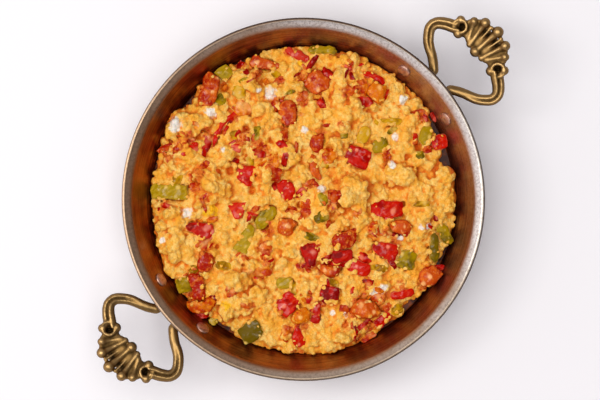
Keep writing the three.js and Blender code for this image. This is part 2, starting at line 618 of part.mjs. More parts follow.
/** The eggs: the mound with its curds and scraps, cut clear of the toppings and of the wall. */
function eggBody(toppings, seats) {
  const curds = curdPlaces(toppings).map((curd, i) => curdBody(curd, 100 + i));
  const scraps = SCRAPS.map(scrapBody);
  const heap = joined([moundCore(), ...curds, ...scraps]);
  return largestBody(heap.subtract(seats));
}

// ---------------------------------------------------------------- the finished object

/** Adds one named piece with its own material, and gives it back. */
function addPiece(group, name, look, body) {
  const piece = new THREE.Mesh(geometryOf(body), new THREE.MeshStandardMaterial(COLOURS[look]));
  piece.name = name;
  group.add(piece);
  return piece;
}

const menemen = new THREE.Group();

const rivetSides = [1, -1].flatMap((end) => [1, -1].map((side) => ({ end, side })));
const rivetFrames = rivetSides.map(({ end, side }) => rivetFrame(side, end));
const sheet = turned(panSection(), PAN_SEGMENTS);
const pan = rivetFrames.reduce((body, frame) => body.subtract(rivetHole(frame)), sheet);
addPiece(menemen, 'pan', 'tin', pan);

const handle = handleBody();
addPiece(menemen, 'handle_right', 'brass', handle);
addPiece(menemen, 'handle_left', 'brass', handle).rotation.z = Math.PI;

rivetFrames.forEach((frame, i) => addPiece(menemen, `rivet_${i + 1}`, 'rivet', rivetBody(frame)));

const { placed, seats } = placedToppings();
addPiece(menemen, 'eggs', 'egg', eggBody(placed, seats));
for (const topping of placed) addPiece(menemen, topping.name, topping.look, topping.body);

export default menemen;
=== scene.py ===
"""Menemen, eggs scrambled with tomato and peppers, in its two-handled pan.

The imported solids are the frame. Each one is replaced here by a detailed piece in the same place,
dressed with a procedural finish, and set in a plain studio under the photo's overhead camera.
Shapes are worked out in millimetres, in the frame's own axes, and turned into metres at the end.
"""

import json
import logging
import math
from dataclasses import dataclass
from enum import Enum
from typing import Callable, Iterable, Sequence

import bmesh
import bpy
import numpy as np
from mathutils import Matrix, Vector
from mathutils.bvhtree import BVHTree

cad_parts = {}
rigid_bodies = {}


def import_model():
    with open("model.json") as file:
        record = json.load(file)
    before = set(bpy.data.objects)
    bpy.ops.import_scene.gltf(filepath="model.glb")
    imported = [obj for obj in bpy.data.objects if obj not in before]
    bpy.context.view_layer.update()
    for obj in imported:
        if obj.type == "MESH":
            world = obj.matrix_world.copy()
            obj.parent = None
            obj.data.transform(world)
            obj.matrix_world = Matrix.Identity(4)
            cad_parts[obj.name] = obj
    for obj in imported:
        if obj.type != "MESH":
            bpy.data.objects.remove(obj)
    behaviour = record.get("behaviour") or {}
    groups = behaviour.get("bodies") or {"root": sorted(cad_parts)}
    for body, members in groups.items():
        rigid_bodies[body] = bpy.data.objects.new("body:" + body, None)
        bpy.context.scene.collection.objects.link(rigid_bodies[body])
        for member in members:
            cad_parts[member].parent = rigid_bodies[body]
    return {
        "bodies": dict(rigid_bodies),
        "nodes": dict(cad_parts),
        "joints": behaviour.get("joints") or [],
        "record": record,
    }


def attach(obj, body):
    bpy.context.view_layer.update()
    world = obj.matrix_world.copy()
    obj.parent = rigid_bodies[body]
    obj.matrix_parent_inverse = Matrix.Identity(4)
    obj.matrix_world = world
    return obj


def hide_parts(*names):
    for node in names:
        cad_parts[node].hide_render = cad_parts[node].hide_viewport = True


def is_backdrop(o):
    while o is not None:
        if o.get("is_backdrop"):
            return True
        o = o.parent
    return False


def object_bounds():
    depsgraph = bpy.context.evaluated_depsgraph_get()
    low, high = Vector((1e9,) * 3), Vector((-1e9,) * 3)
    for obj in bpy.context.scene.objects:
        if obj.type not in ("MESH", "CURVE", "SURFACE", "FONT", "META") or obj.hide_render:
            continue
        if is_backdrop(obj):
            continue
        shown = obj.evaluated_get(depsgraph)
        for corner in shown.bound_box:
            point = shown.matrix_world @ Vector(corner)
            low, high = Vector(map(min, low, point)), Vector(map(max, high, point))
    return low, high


MM = 0.001
BODY = "root"
LOG = logging.getLogger("menemen")

Colour = tuple[float, float, float, float]
Array = np.ndarray
Shape = tuple[Array, list[Array]]
Piece = bpy.types.Object
Finish = bpy.types.Material
Mesh = bpy.types.Mesh
Values = dict[object, object]

# ---- the photo's framing

# The photo's size, the middle and radius of the pan's rim in its pixels, how far it is turned from the
# frame, and how far above the rim it is taken from.
PHOTO_WIDTH = 600
PHOTO_HEIGHT = 400
PHOTO_RIM_X = 303.4
PHOTO_RIM_Y = 199.4
PHOTO_RIM_PIXELS = 182.1
PHOTO_TURN = math.radians(40.7)
PHOTO_DISTANCE = 900.0
# The rim, the usual height of the food with the size of a pixel there, and where rays start down from.
RIM_RADIUS = 100.0
PAN_HEIGHT = 46.0
FOOD_HEIGHT = 34.0
FOOD_PIXEL = 0.55
SKY_HEIGHT = 200.0
DOWN = Vector((0, 0, -1))


def photo_place(px: float, py: float, z: float) -> Array:
    """The place in the pan, at a height, of something seen at a pixel of the photo.

    Args:
        px: Pixels from the photo's left edge.
        py: Pixels from its top edge.
        z: Height above the table in millimetres.

    Returns:
        The x and y of the place in millimetres.
    """
    scale = RIM_RADIUS / PHOTO_RIM_PIXELS * (1 + (PAN_HEIGHT - z) / PHOTO_DISTANCE)
    right = (px - PHOTO_RIM_X) * scale
    up = (PHOTO_RIM_Y - py) * scale
    cos, sin = math.cos(PHOTO_TURN), math.sin(PHOTO_TURN)
    return np.array([cos * right + sin * up, cos * up - sin * right])


def paint(red: int, green: int, blue: int) -> Colour:
    """A colour as read off the photo, in the linear values that shaders take.

    Args:
        red: Its red part, from 0 to 255.
        green: Its green part.
        blue: Its blue part.

    Returns:
        The colour.
    """
    def linear(part: int) -> float:
        """One channel without its display curve."""
        share = part / 255
        return share / 12.92 if share <= 0.04045 else ((share + 0.055) / 1.055) ** 2.4
    return (linear(red), linear(green), linear(blue), 1.0)


# ---- shader expressions


@dataclass(frozen=True)
class Signal:
    """A shader socket that takes part in Python expressions.

    Attributes:
        graph: The node graph that the socket belongs to.
        socket: The output socket itself.
    """

    graph: "Graph"
    socket: bpy.types.NodeSocket

    def _math(self, operation: str, first: object, second: object) -> "Signal":
        """Adds one Math node and gives back its output."""
        return self.graph.node("ShaderNodeMath", {"operation": operation}, {0: first, 1: second})

    def __add__(self, other: object) -> "Signal":
        """This value plus another."""
        return self._math("ADD", self, other)

    __radd__ = __add__

    def __sub__(self, other: object) -> "Signal":
        """This value less another."""
        return self._math("SUBTRACT", self, other)

    def __rsub__(self, other: object) -> "Signal":
        """Another value less this one."""
        return self._math("SUBTRACT", other, self)

    def __mul__(self, other: object) -> "Signal":
        """This value times another."""
        return self._math("MULTIPLY", self, other)

    __rmul__ = __mul__

    def __pow__(self, power: float) -> "Signal":
        """This value raised to a power."""
        return self._math("POWER", self, power)

    def between(self, low: float, high: float) -> "Signal":
        """A smooth step.

        Args:
            low: Where it is 0.
            high: Where it is 1.

        Returns:
            The step's value.
        """
        return self.graph.node(
            "ShaderNodeMapRange", {"interpolation_type": "SMOOTHSTEP"},
            {0: self, 1: low, 2: high, 3: 0.0, 4: 1.0},
        )

    def ramp(self, low: float, high: float, first: float, last: float) -> "Signal":
        """A straight ramp from first, where this value is at low, to last, where it is at high."""
        sockets = {0: self, 1: low, 2: high, 3: first, 4: last}
        return self.graph.node("ShaderNodeMapRange", {}, sockets)

    def clipped(self) -> "Signal":
        """This value kept between 0 and 1."""
        return self.graph.node("ShaderNodeClamp", {}, {0: self})


class Graph:
    """The node graph of one material, or of the air round the scene."""

    def __init__(self, owner: Finish | bpy.types.World) -> None:
        """Starts an empty graph.

        Args:
            owner: The material or world that it dresses.
        """
        self.owner = owner
        owner.use_nodes = True
        self.tree = owner.node_tree
        self.tree.nodes.clear()

    def node(self, kind: str, settings: Values, sockets: Values,
             output: int | str | None = 0) -> Signal | None:
        """Adds a node of any type.

        Args:
            kind: The node's type.
            settings: Its properties, set first.
            sockets: Values or signals for its inputs, by name or number.
            output: Which output is wanted, by name or number, or None where the graph ends.

        Returns:
            That output.
        """
        made = self.tree.nodes.new(kind)
        for key, value in settings.items():
            setattr(made, key, value)
        for key, value in sockets.items():
            target = made.inputs[key]
            if isinstance(value, Signal):
                self.tree.links.new(value.socket, target)
            else:
                target.default_value = value
        return None if output is None else Signal(self, made.outputs[output])

    def place(self) -> Signal:
        """Where a point of the surface is, in millimetres.

        Returns:
            The place.
        """
        place = self.node("ShaderNodeTexCoord", {}, {}, "Object")
        return self.node("ShaderNodeVectorMath", {"operation": "SCALE"}, {0: place, "Scale": 1 / MM})

    def axis(self, vector: Signal, number: int) -> Signal:
        """One part of a vector, with 0 for x, 1 for y and 2 for z."""
        return self.node("ShaderNodeSeparateXYZ", {}, {0: vector}, number)

    def facing(self, number: int) -> Signal:
        """How far the surface faces along one of the frame's axes."""
        return self.axis(self.node("ShaderNodeNewGeometry", {}, {}, "Normal"), number)

    def mark(self, name: str) -> Signal:
        """A number that the mesh carries at each of its points."""
        return self.node("ShaderNodeAttribute", {"attribute_name": name}, {}, "Fac")

    def noise(self, size: float, detail: float = 3.0, roughness: float = 0.5, shift: float = 0.0,
              at: Signal | None = None) -> Signal:
        """Cloudy noise from 0 to 1.

        Args:
            size: The size of its lumps in millimetres.
            detail: How many finer layers it has.
            roughness: How strong those layers are.
            shift: Moves the pattern, so that two of one size differ.
            at: The place to read it at, if not the surface's own.

        Returns:
            The noise's value.
        """
        return self.node(
            "ShaderNodeTexNoise", {"noise_dimensions": "4D"},
            {"Vector": at or self.place(), "W": shift, "Scale": 1 / size, "Detail": detail,
             "Roughness": roughness},
        )

    def crumbs(self, size: float, crease: float) -> Signal:
        """The creases between small uneven crumbs: 1 in a crease, 0 on a crumb.

        Args:
            size: The size of the crumbs in millimetres.
            crease: The width of the creases, as a share of a crumb.

        Returns:
            The creases.
        """
        bent = self.node(
            "ShaderNodeTexNoise", {}, {"Vector": self.place(), "Scale": 0.8 / size, "Detail": 2.0}, 1,
        )
        shifted = self.node(
            "ShaderNodeVectorMath", {"operation": "MULTIPLY_ADD"},
            {0: bent, 1: (0.9 * size,) * 3, 2: self.place()},
        )
        cells = self.node(
            "ShaderNodeTexVoronoi", {"feature": "DISTANCE_TO_EDGE"},
            {"Vector": shifted, "Scale": 1 / size},
        )
        return 1.0 - cells.between(0.0, crease)

    def blend(self, share: object, first: object, second: object) -> Signal:
        """A colour between two others.

        Args:
            share: How much of the second there is, from 0 to 1.
            first: The first colour.
            second: The second colour.

        Returns:
            The mixed colour.
        """
        return self.node("ShaderNodeMix", {"data_type": "RGBA"}, {0: share, 6: first, 7: second}, 2)

    def bumped(self, height: Signal, depth: float, under: Signal | None = None) -> Signal:
        """The surface's direction with a fine relief.

        Args:
            height: The relief's height from 0 to 1.
            depth: How deep it is in millimetres.
            under: An earlier relief to lay this one on.

        Returns:
            The direction for a shader's Normal socket.
        """
        sockets: Values = {"Height": height, "Distance": depth * MM, "Strength": 1.0}
        if under is not None:
            sockets["Normal"] = under
        return self.node("ShaderNodeBump", {}, sockets)

    def finished(self, sockets: Values) -> Finish:
        """Ends the graph with the surface shader.

        Args:
            sockets: The shader's values and signals.

        Returns:
            The material.
        """
        shader = self.node("ShaderNodeBsdfPrincipled", {}, sockets)
        self.node("ShaderNodeOutputMaterial", {}, {"Surface": shader}, None)
        return self.owner


# ---- finishes


@dataclass(frozen=True)
class TinnedMetal:
    """Spun and tinned sheet: bright on the lip, browned by cooking on the inner wall; light and shade are
    painted in.

    Attributes:
        bright: The clean metal, spread further towards +X as a painted highlight.
        worn_and_shaded: The duller, warmer metal, spread further towards -X as painted shade.
        aged: The brownish metal painted on the lip's left as painted shade.
        dull: The grey mottling of the clean metal.
        browned: The thin brown film on the wall.
        scorched: Where the film is thick; it is laid on more towards -X and low on the wall as painted
            shade.
        edge_line: A dark line round the cut edge, faded on the picture's left and fullest towards its top
            as painted light.
    """

    bright: Colour = paint(246, 240, 232)
    worn_and_shaded: Colour = paint(202, 182, 160)
    aged: Colour = paint(190, 156, 124)
    dull: Colour = paint(126, 104, 86)
    browned: Colour = paint(162, 92, 14)
    scorched: Colour = paint(74, 28, 3)
    edge_line: Colour = paint(84, 66, 54)

    def material(self) -> Finish:
        """Builds the finish.

        Returns:
            The material.
        """
        graph = Graph(bpy.data.materials.new("tinned_metal"))
        place = graph.place()
        height = graph.axis(place, 2)
        x, y = graph.axis(place, 0), graph.axis(place, 1)
        radius = (x * x + y * y) ** 0.5
        rings = graph.node("ShaderNodeCombineXYZ", {}, {0: x * 0.03, 1: y * 0.03, 2: height * 1.6})
        streaks = graph.noise(1.0, 4.0, 0.6, at=rings)
        patches = graph.noise(26.0, 3.0, 0.55, 4.0)
        specks = graph.noise(0.9, 2.0, 0.6, 9.0)
        film = 1.0 - (radius + patches * 1.6).between(95.1, 97.4)
        # Painted shade: the film is made thicker towards -X and low on the wall, darkening the wall's
        # shaded side and its foot by the eggs.
        thin = (x * 0.01 + patches * 0.5).between(0.9, 1.2)
        low = 1.0 - height.between(26.0, 35.0)
        thickness = (streaks * 1.1 + patches * 0.8 - 0.48 - thin * 0.1 + low * 0.35).clipped()
        leftward = (y * math.sin(PHOTO_TURN) - x * math.cos(PHOTO_TURN)) * 0.01
        upward = (x * math.sin(PHOTO_TURN) + y * math.cos(PHOTO_TURN)) * 0.01
        # Painted highlight: the clean metal is brighter towards +X and duller towards -X.
        clean = graph.blend((patches + x * 0.0035 - 0.06).between(0.35, 0.75), self.worn_and_shaded, self.bright)
        # Painted shade: the lip's left is painted the brownish aged colour.
        clean = graph.blend(leftward.between(-0.1, 0.7) * (0.6 + 0.5 * specks), clean, self.aged)
        mottle = graph.noise(1.5, 3.0, 0.68, 21.0).between(0.42, 0.66)
        clean = graph.blend(mottle * (0.3 + 0.3 * patches), clean, self.dull)
        pits = specks.between(0.64, 0.72) * patches.between(0.45, 0.65) * 0.5
        pitted = graph.blend(pits, clean, self.scorched)
        brown = graph.blend(thickness.between(0.25, 0.85), self.browned, self.scorched)
        colour = graph.blend(film * (0.66 + 0.34 * thickness - thin * 0.16), pitted, brown)
        # Painted light: the dark edge line fades on the picture's left and is fullest towards its top.
        line = (0.82 + 0.18 * upward.between(0.3, 0.8)) - 0.5 * leftward.between(0.35, 0.95)
        colour = graph.blend(radius.between(97.8, 98.8) * line, colour, self.edge_line)
        scratches = graph.noise(0.35, 2.0, 0.5, 2.0, rings)
        relief = graph.bumped(streaks * 0.6 + scratches * 0.4, 0.05)
        relief = graph.bumped(specks, 0.03, relief)
        return graph.finished({
            "Base Color": colour, "Metallic": 1.0, "Normal": relief,
            "Roughness": 0.2 + 0.14 * streaks + 0.12 * specks,
        })


@dataclass(frozen=True)
class CastBrass:
    """Old cast brass: golden where hands polish it, dark brown in its hollows.

    Attributes:
        polished: The worn top of each form.
        aged: The metal between.
        hollow: The dark of the recesses.
    """

    polished: Colour = paint(214, 176, 118)
    aged: Colour = paint(132, 100, 56)
    hollow: Colour = paint(54, 40, 20)

    def material(self) -> Finish:
        """Builds the finish.

        Returns:
            The material.
        """
        graph = Graph(bpy.data.materials.new("cast_brass"))
        cavity = graph.mark("cavity")
        clouds = graph.noise(5.0, 4.0, 0.6)
        grain = graph.noise(0.5, 3.0, 0.6, 3.0)
        top = graph.facing(2)
        wear = ((1.0 - cavity) * 0.75 + clouds * 0.3 - 0.1).between(0.35, 0.8) * top.between(0.5, 0.98)
        metal = graph.blend(wear, self.aged, self.polished)
        dark = (cavity.between(0.45, 0.75) + (1.0 - top.between(0.1, 0.7)) * 0.85).clipped()
        colour = graph.blend(dark, metal, self.hollow)
        relief = graph.bumped(grain, 0.04)
        relief = graph.bumped(clouds, 0.12, relief)
        return graph.finished({
            "Base Color": colour, "Metallic": 1.0, "Normal": relief,
            "Roughness": 0.3 + 0.16 * grain + 0.2 * dark,
        })


@dataclass(frozen=True)
class RivetMetal:
    """The rivets' pinkish metal, dulled and finely scratched.

    Attributes:
        clean: The bright metal.
        dull: Its duller patches.
    """

    clean: Colour = paint(226, 190, 172)
    dull: Colour = paint(170, 118, 96)

    def material(self) -> Finish:
        """Builds the finish.

        Returns:
            The material.
        """
        graph = Graph(bpy.data.materials.new("rivet_metal"))
        patches = graph.noise(2.2, 4.0, 0.6)
        grain = graph.noise(0.3, 3.0, 0.6, 5.0)
        colour = graph.blend(patches.between(0.3, 0.7), self.clean, self.dull)
        return graph.finished({
            "Base Color": colour, "Metallic": 1.0, "Normal": graph.bumped(grain, 0.03),
            "Roughness": 0.34 + 0.2 * patches,
        })


@dataclass(frozen=True)
class CookedEgg:
    """Soft scrambled egg: pale on its tops, orange in its creases (partly painted shade), with white and
    yolk streaks.

    Attributes:
        pale: The lightest curds.
        body: The usual curd.
        golden: The richer patches of curd.
        deep: The curd's creases and sunk places, painted deeper as painted shade.
        gap_juice_and_shade: The orange of the deepest gaps, partly juice and partly painted shade.
        stain: Egg coloured by tomato.
        pulp: The red threads in it.
        albumen: The bits of egg white.
        yolk: The bits of plain yolk.
    """

    pale: Colour = paint(254, 214, 122)
    body: Colour = paint(251, 190, 66)
    golden: Colour = paint(249, 170, 36)
    deep: Colour = paint(240, 150, 40)
    gap_juice_and_shade: Colour = paint(214, 100, 12)
    stain: Colour = paint(226, 116, 30)
    pulp: Colour = paint(192, 42, 8)
    albumen: Colour = paint(250, 240, 226)
    yolk: Colour = paint(252, 190, 24)

    def material(self) -> Finish:
        """Builds the finish.

        Returns:
            The material.
        """
        graph = Graph(bpy.data.materials.new("cooked_egg"))
        cavity = graph.mark("cavity")
        clouds = graph.noise(9.0, 3.0, 0.6)
        flecks = graph.noise(2.2, 4.0, 0.65, 3.0)
        grain = graph.noise(0.8, 2.0, 0.6, 8.0)
        creases = graph.crumbs(1.2, 0.35)
        richness = (flecks * 0.8 + clouds * 0.5 - 0.15).between(0.3, 0.62)
        curd = graph.blend(richness, self.pale, self.body)
        curd = graph.blend(clouds.between(0.5, 0.66) * 0.8, curd, self.golden)
        # Painted shade: creases between crumbs and sunk places take the deeper colours, and the deepest
        # gaps the gap colour.
        curd = graph.blend(creases * flecks.between(0.35, 0.6) * 0.5, curd, self.deep)
        curd = graph.blend(cavity.between(0.52, 0.8), curd, self.deep)
        curd = graph.blend(cavity.between(0.76, 1.0) * 0.8, curd, self.gap_juice_and_shade)
        wet = (graph.mark("stain") + (flecks - 0.5) * 1.2).between(0.2, 0.75)
        threads = graph.noise(1.6, 3.0, 0.6, 12.0).between(0.5, 0.62)
        curd = graph.blend(wet * 0.94, curd, graph.blend(threads, self.stain, self.pulp))
        curd = graph.blend(graph.mark("white").between(0.2, 0.8), curd, self.albumen)
        curd = graph.blend(graph.mark("yolk").between(0.3, 0.7), curd, self.yolk)
        relief = graph.bumped(1.0 - creases, 0.2)
        relief = graph.bumped(grain, 0.3, relief)
        return graph.finished({
            "Base Color": curd, "Normal": relief, "Roughness": 0.46 - 0.2 * wet + 0.2 * flecks,
            "Specular IOR Level": 0.26, "Subsurface Weight": 0.12,
            "Subsurface Radius": (0.9, 0.54, 0.225), "Subsurface Scale": 1.2 * MM,
        })


@dataclass(frozen=True)
class PepperFlesh:
    """Cooked pepper: wet coloured skin over paler flesh.

    Attributes:
        name: The material's name.
        skin: The skin's usual colour.
        bright: Where the skin is thin and lit.
        dark: Where it is folded or thick, and the painted shade of the shade spots.
        flesh: The cut sides, and the painted sheen of the sheen spots.
    """

    name: str
    skin: Colour
    bright: Colour
    dark: Colour
    flesh: Colour

    def material(self) -> Finish:
        """Builds the finish.

        Returns:
            The material.
        """
        graph = Graph(bpy.data.materials.new(self.name))
        clouds = graph.noise(5.0, 2.0, 0.5)
        stretched = graph.node(
            "ShaderNodeVectorMath", {"operation": "MULTIPLY"}, {0: graph.place(), 1: (0.32, 0.9, 0.6)},
        )
        streaks = graph.noise(1.2, 3.0, 0.5, 6.0, stretched)
        wet = graph.noise(2.4, 2.0, 0.5, 14.0).between(0.52, 0.62)
        cut, tone = graph.mark("cut"), graph.mark("tone")
        # Painted shade: the shade mark pulls the skin towards the dark colour.
        dark = (clouds - tone * 0.4 + graph.mark("shade") * 0.45).between(0.46, 0.72)
        skin = graph.blend(dark, self.skin, self.dark)
        skin = graph.blend((streaks + tone * 0.2).between(0.52, 0.7) * 0.4, skin, self.bright)
        edges = (cut + streaks * 0.5 - 0.3).clipped().between(0.3, 0.8) * 0.6
        # Painted highlight: the sheen mark lays the paler flesh colour over the skin.
        pale = (edges + graph.mark("sheen") * 0.85).clipped()
        colour = graph.blend(pale, skin, self.flesh)
        relief = graph.bumped(streaks, 0.12)
        relief = graph.bumped(clouds, 0.5, relief)
        return graph.finished({
            "Base Color": colour, "Normal": relief, "Roughness": 0.16 + 0.12 * streaks,
            "Specular IOR Level": 0.05, "Coat Weight": wet * 0.7, "Coat Roughness": 0.11,
            "Subsurface Weight": 0.06, "Subsurface Radius": (1.0, 0.3, 0.15),
            "Subsurface Scale": 0.8 * MM,
        })


@dataclass(frozen=True)
class TomatoFlesh:
    """Cooked tomato: wet pulp, mottled from red to orange, with paler threads.

    Attributes:
        name: The material's name.
        pulp: The usual pulp.
        red: Where the skin is still on, and the painted shade of the shade spots.
        amber: Where the jelly shows.
        thread: The paler veins, and the painted sheen of the sheen spots.
    """

    name: str
    pulp: Colour
    red: Colour
    amber: Colour
    thread: Colour

    def material(self) -> Finish:
        """Builds the finish.

        Returns:
            The material.
        """
        graph = Graph(bpy.data.materials.new(self.name))
        clouds = graph.noise(5.0, 2.0, 0.5)
        pulp = graph.noise(2.6, 3.0, 0.55, 5.0)
        drops = graph.noise(1.1, 2.0, 0.5, 7.0)
        wet = graph.noise(2.0, 2.0, 0.5, 14.0).between(0.5, 0.62)
        # Painted shade: the shade mark pulls the pulp towards the deeper red.
        redness = clouds + (graph.mark("cut") - graph.mark("tone")) * 0.3 + graph.mark("shade") * 0.5
        colour = graph.blend(redness.between(0.45, 0.7), self.pulp, self.red)
        colour = graph.blend(pulp.between(0.48, 0.66) * 0.6, colour, self.amber)
        # Painted highlight: the sheen mark lays the pale thread colour over the pulp.
        threads = (drops.between(0.58, 0.72) * 0.35 + graph.mark("sheen") * 0.8).clipped()
        colour = graph.blend(threads, colour, self.thread)
        relief = graph.bumped(pulp, 0.4)
        relief = graph.bumped(drops, 0.14, relief)
        return graph.finished({
            "Base Color": colour, "Normal": relief, "Roughness": 0.18 + 0.16 * pulp,
            "Specular IOR Level": 0.06, "Coat Weight": wet * 0.7, "Coat Roughness": 0.11,
            "Subsurface Weight": 0.08, "Subsurface Radius": (1.0, 0.35, 0.15),
            "Subsurface Scale": 0.9 * MM,
        })


@dataclass(frozen=True)
class JuiceAndGapShade:
    """The thin film of browned butter and juice between the eggs and the wall, dark enough to be painted
    shade in those gaps.

    Attributes:
        deep: Where it is thick, near black as painted shade.
        thin: Where it is thin.
    """

    deep: Colour = paint(52, 16, 3)
    thin: Colour = paint(128, 58, 10)

    def material(self) -> Finish:
        """Builds the finish.

        Returns:
            The material.
        """
        graph = Graph(bpy.data.materials.new("juice_and_gap_shade"))
        clouds = graph.noise(6.0, 3.0, 0.6)
        colour = graph.blend(clouds.between(0.4, 0.7), self.deep, self.thin)
        return graph.finished({
            "Base Color": colour, "Roughness": 0.12 + 0.16 * clouds, "Specular IOR Level": 0.1,
            "Normal": graph.bumped(clouds, 0.3),
        })


@dataclass(frozen=True)
class StudioPaper:
    """The plain pale ground.

    Attributes:
        tone: Its usual colour.
        shade: The colour of its faint clouds.
    """

    tone: Colour = paint(250, 248, 251)
    shade: Colour = paint(236, 233, 238)

    def material(self) -> Finish:
        """Builds the finish.

        Returns:
            The material.
        """
        graph = Graph(bpy.data.materials.new("studio_paper"))
        clouds = graph.noise(60.0, 2.0, 0.5)
        colour = graph.blend(clouds * 0.04, self.tone, self.shade)
        return graph.finished({"Base Color": colour, "Roughness": 0.9, "Specular IOR Level": 0.1})


# ---- mesh tools


def placed_object(name: str, data: bpy.types.ID) -> Piece:
    """Puts a new object into the scene.

    Args:
        name: Its name.
        data: Its mesh, lamp or lens.

    Returns:
        The object.
    """
    made = bpy.data.objects.new(name, data)
    bpy.context.scene.collection.objects.link(made)
    return made


def mesh_object(name: str, points: Array, faces: Sequence[Array]) -> Piece:
    """Makes an object from points in millimetres.

    Args:
        name: The piece's name.
        points: One row of x, y and z for each point.
        faces: Arrays of corner numbers, each of faces with one count of corners.

    Returns:
        The new, smoothly shaded object.
    """
    corners = np.concatenate([part.ravel() for part in faces]).astype(np.int32)
    sizes = np.concatenate([np.full(len(part), part.shape[1]) for part in faces])
    starts = np.concatenate([[0], np.cumsum(sizes)[:-1]]).astype(np.int32)
    mesh = bpy.data.meshes.new(name)
    mesh.vertices.add(len(points))
    mesh.vertices.foreach_set("co", (points * MM).astype(np.float32).ravel())
    mesh.loops.add(len(corners))
    mesh.loops.foreach_set("vertex_index", corners)
    mesh.polygons.add(len(sizes))
    mesh.polygons.foreach_set("loop_start", starts)
    mesh.update(calc_edges=True)
    mesh.shade_smooth()
    return placed_object(name, mesh)


def points_of(mesh: Mesh) -> Array:
    """A mesh's points in millimetres.

    Args:
        mesh: The mesh.

    Returns:
        One row for each point.
    """
    flat = np.empty(3 * len(mesh.vertices), np.float32)
    mesh.vertices.foreach_get("co", flat)
    return flat.reshape(-1, 3).astype(float) / MM


def normals_of(mesh: Mesh) -> Array:
    """The directions that a mesh faces at its points.

    Args:
        mesh: The mesh.

    Returns:
        One row for each point.
    """
    flat = np.empty(3 * len(mesh.vertices), np.float32)
    mesh.vertex_normals.foreach_get("vector", flat)
    return flat.reshape(-1, 3).astype(float)


def move_points(mesh: Mesh, points: Array) -> None:
    """Puts a mesh's points at new places, in millimetres."""
    mesh.vertices.foreach_set("co", (points * MM).astype(np.float32).ravel())
    mesh.update()


def triangles_of(mesh: Mesh) -> Array:
    """A mesh's faces as triangles.

    Args:
        mesh: The mesh.

    Returns:
        One row of three corner numbers for each.
    """
    mesh.calc_loop_triangles()
    flat = np.empty(3 * len(mesh.loop_triangles), np.int32)
    mesh.loop_triangles.foreach_get("vertices", flat)
    return flat.reshape(-1, 3)


def set_marks(mesh: Mesh, **marks: Array) -> None:
    """Gives a mesh numbers at each point, for its finish to read by their names.

    Args:
        mesh: The mesh.
        marks: The values of each mark.
    """
    for name, values in marks.items():
        mesh.attributes.new(name, "FLOAT", "POINT").data.foreach_set("value", values.astype(np.float32))


def tree_of(*meshes: Mesh) -> BVHTree:
    """A search tree over the faces of several meshes, in millimetres.

    Args:
        meshes: The meshes.

    Returns:
        The tree.
    """
    points, faces, count = [], [], 0
    for mesh in meshes:
        own = points_of(mesh)
        points.append(own)
        faces.append(triangles_of(mesh) + count)
        count += len(own)
    return BVHTree.FromPolygons(np.concatenate(points).tolist(), np.concatenate(faces).tolist())


def tree_over(body: Shape) -> BVHTree:
    """A search tree over a body's faces."""
    return BVHTree.FromPolygons(body[0].tolist(), [face for part in body[1] for face in part.tolist()])


def fused(piece: Piece, voxel: float, smoothing: int) -> None:
    """Turns a piece's overlapping bodies into one even skin.

    Args:
        piece: The object, whose mesh is replaced.
        voxel: The skin's fineness in millimetres.
        smoothing: How many times it is smoothed.
    """
    remesh = piece.modifiers.new("fuse", "REMESH")
    remesh.mode = "VOXEL"
    remesh.voxel_size = voxel * MM
    remesh.use_smooth_shade = True
    if smoothing:
        smooth = piece.modifiers.new("smooth", "SMOOTH")
        smooth.factor = 0.5
        smooth.iterations = smoothing
    bpy.context.view_layer.update()
    ready = piece.evaluated_get(bpy.context.evaluated_depsgraph_get())
    skin = bpy.data.meshes.new_from_object(ready)
    piece.modifiers.clear()
    rough = piece.data
    piece.data = skin
    bpy.data.meshes.remove(rough)
    skin.name = piece.name
    skin.shade_smooth()


def soft_noise(points: Array, size: float, seed: int) -> Array:
    """Smooth noise from -1 to 1.

    Args:
        points: Where to read it, in millimetres.
        size: The size of its lumps.
        seed: Picks one of many patterns.

    Returns:
        One value for each point.
    """
    cell = points / size + 31.7 * seed
    low = np.floor(cell).astype(np.int64)
    part = cell - low
    part = part * part * (3 - 2 * part)
    total = np.zeros(len(points))
    for corner in np.ndindex(2, 2, 2):
        at = low + corner
        mixed = (at[:, 0] * 73856093) ^ (at[:, 1] * 19349663) ^ (at[:, 2] * 83492791)
        mixed = (mixed ^ (mixed >> 13)) * 1274126177
        value = ((mixed ^ (mixed >> 16)) & 0xFFFF) / 32767.5 - 1
        weight = np.prod(np.where(np.array(corner) == 1, part, 1 - part), axis=1)
        total += value * weight
    return total


def arc(centre: tuple[float, float], radius: float, start: float, end: float, steps: int) -> Array:
    """Points of an arc in a section, by angles in degrees from straight out."""
    angles = np.radians(np.linspace(start, end, steps))
    return np.column_stack([centre[0] + radius * np.cos(angles), centre[1] + radius * np.sin(angles)])


def wrapped(rows: int, sides: int) -> list[Array]:
    """The faces of a skin over rings of points, closed by one more point at each end.

    Args:
        rows: How many rings there are.
        sides: How many points each has.

    Returns:
        The skin's faces and those of its two ends, whose points come after the rings.
    """
    here = np.arange(sides)
    following = (here + 1) % sides
    starts = np.arange(rows - 1)[:, None] * sides
    first, second = starts + here, starts + following
    quads = np.stack([first, second, second + sides, first + sides], axis=2).reshape(-1, 4)
    last = (rows - 1) * sides
    start_cap = np.column_stack([following, here, np.full(sides, rows * sides)])
    end_cap = np.column_stack([last + here, last + following, np.full(sides, rows * sides + 1)])
    return [quads, start_cap, end_cap]


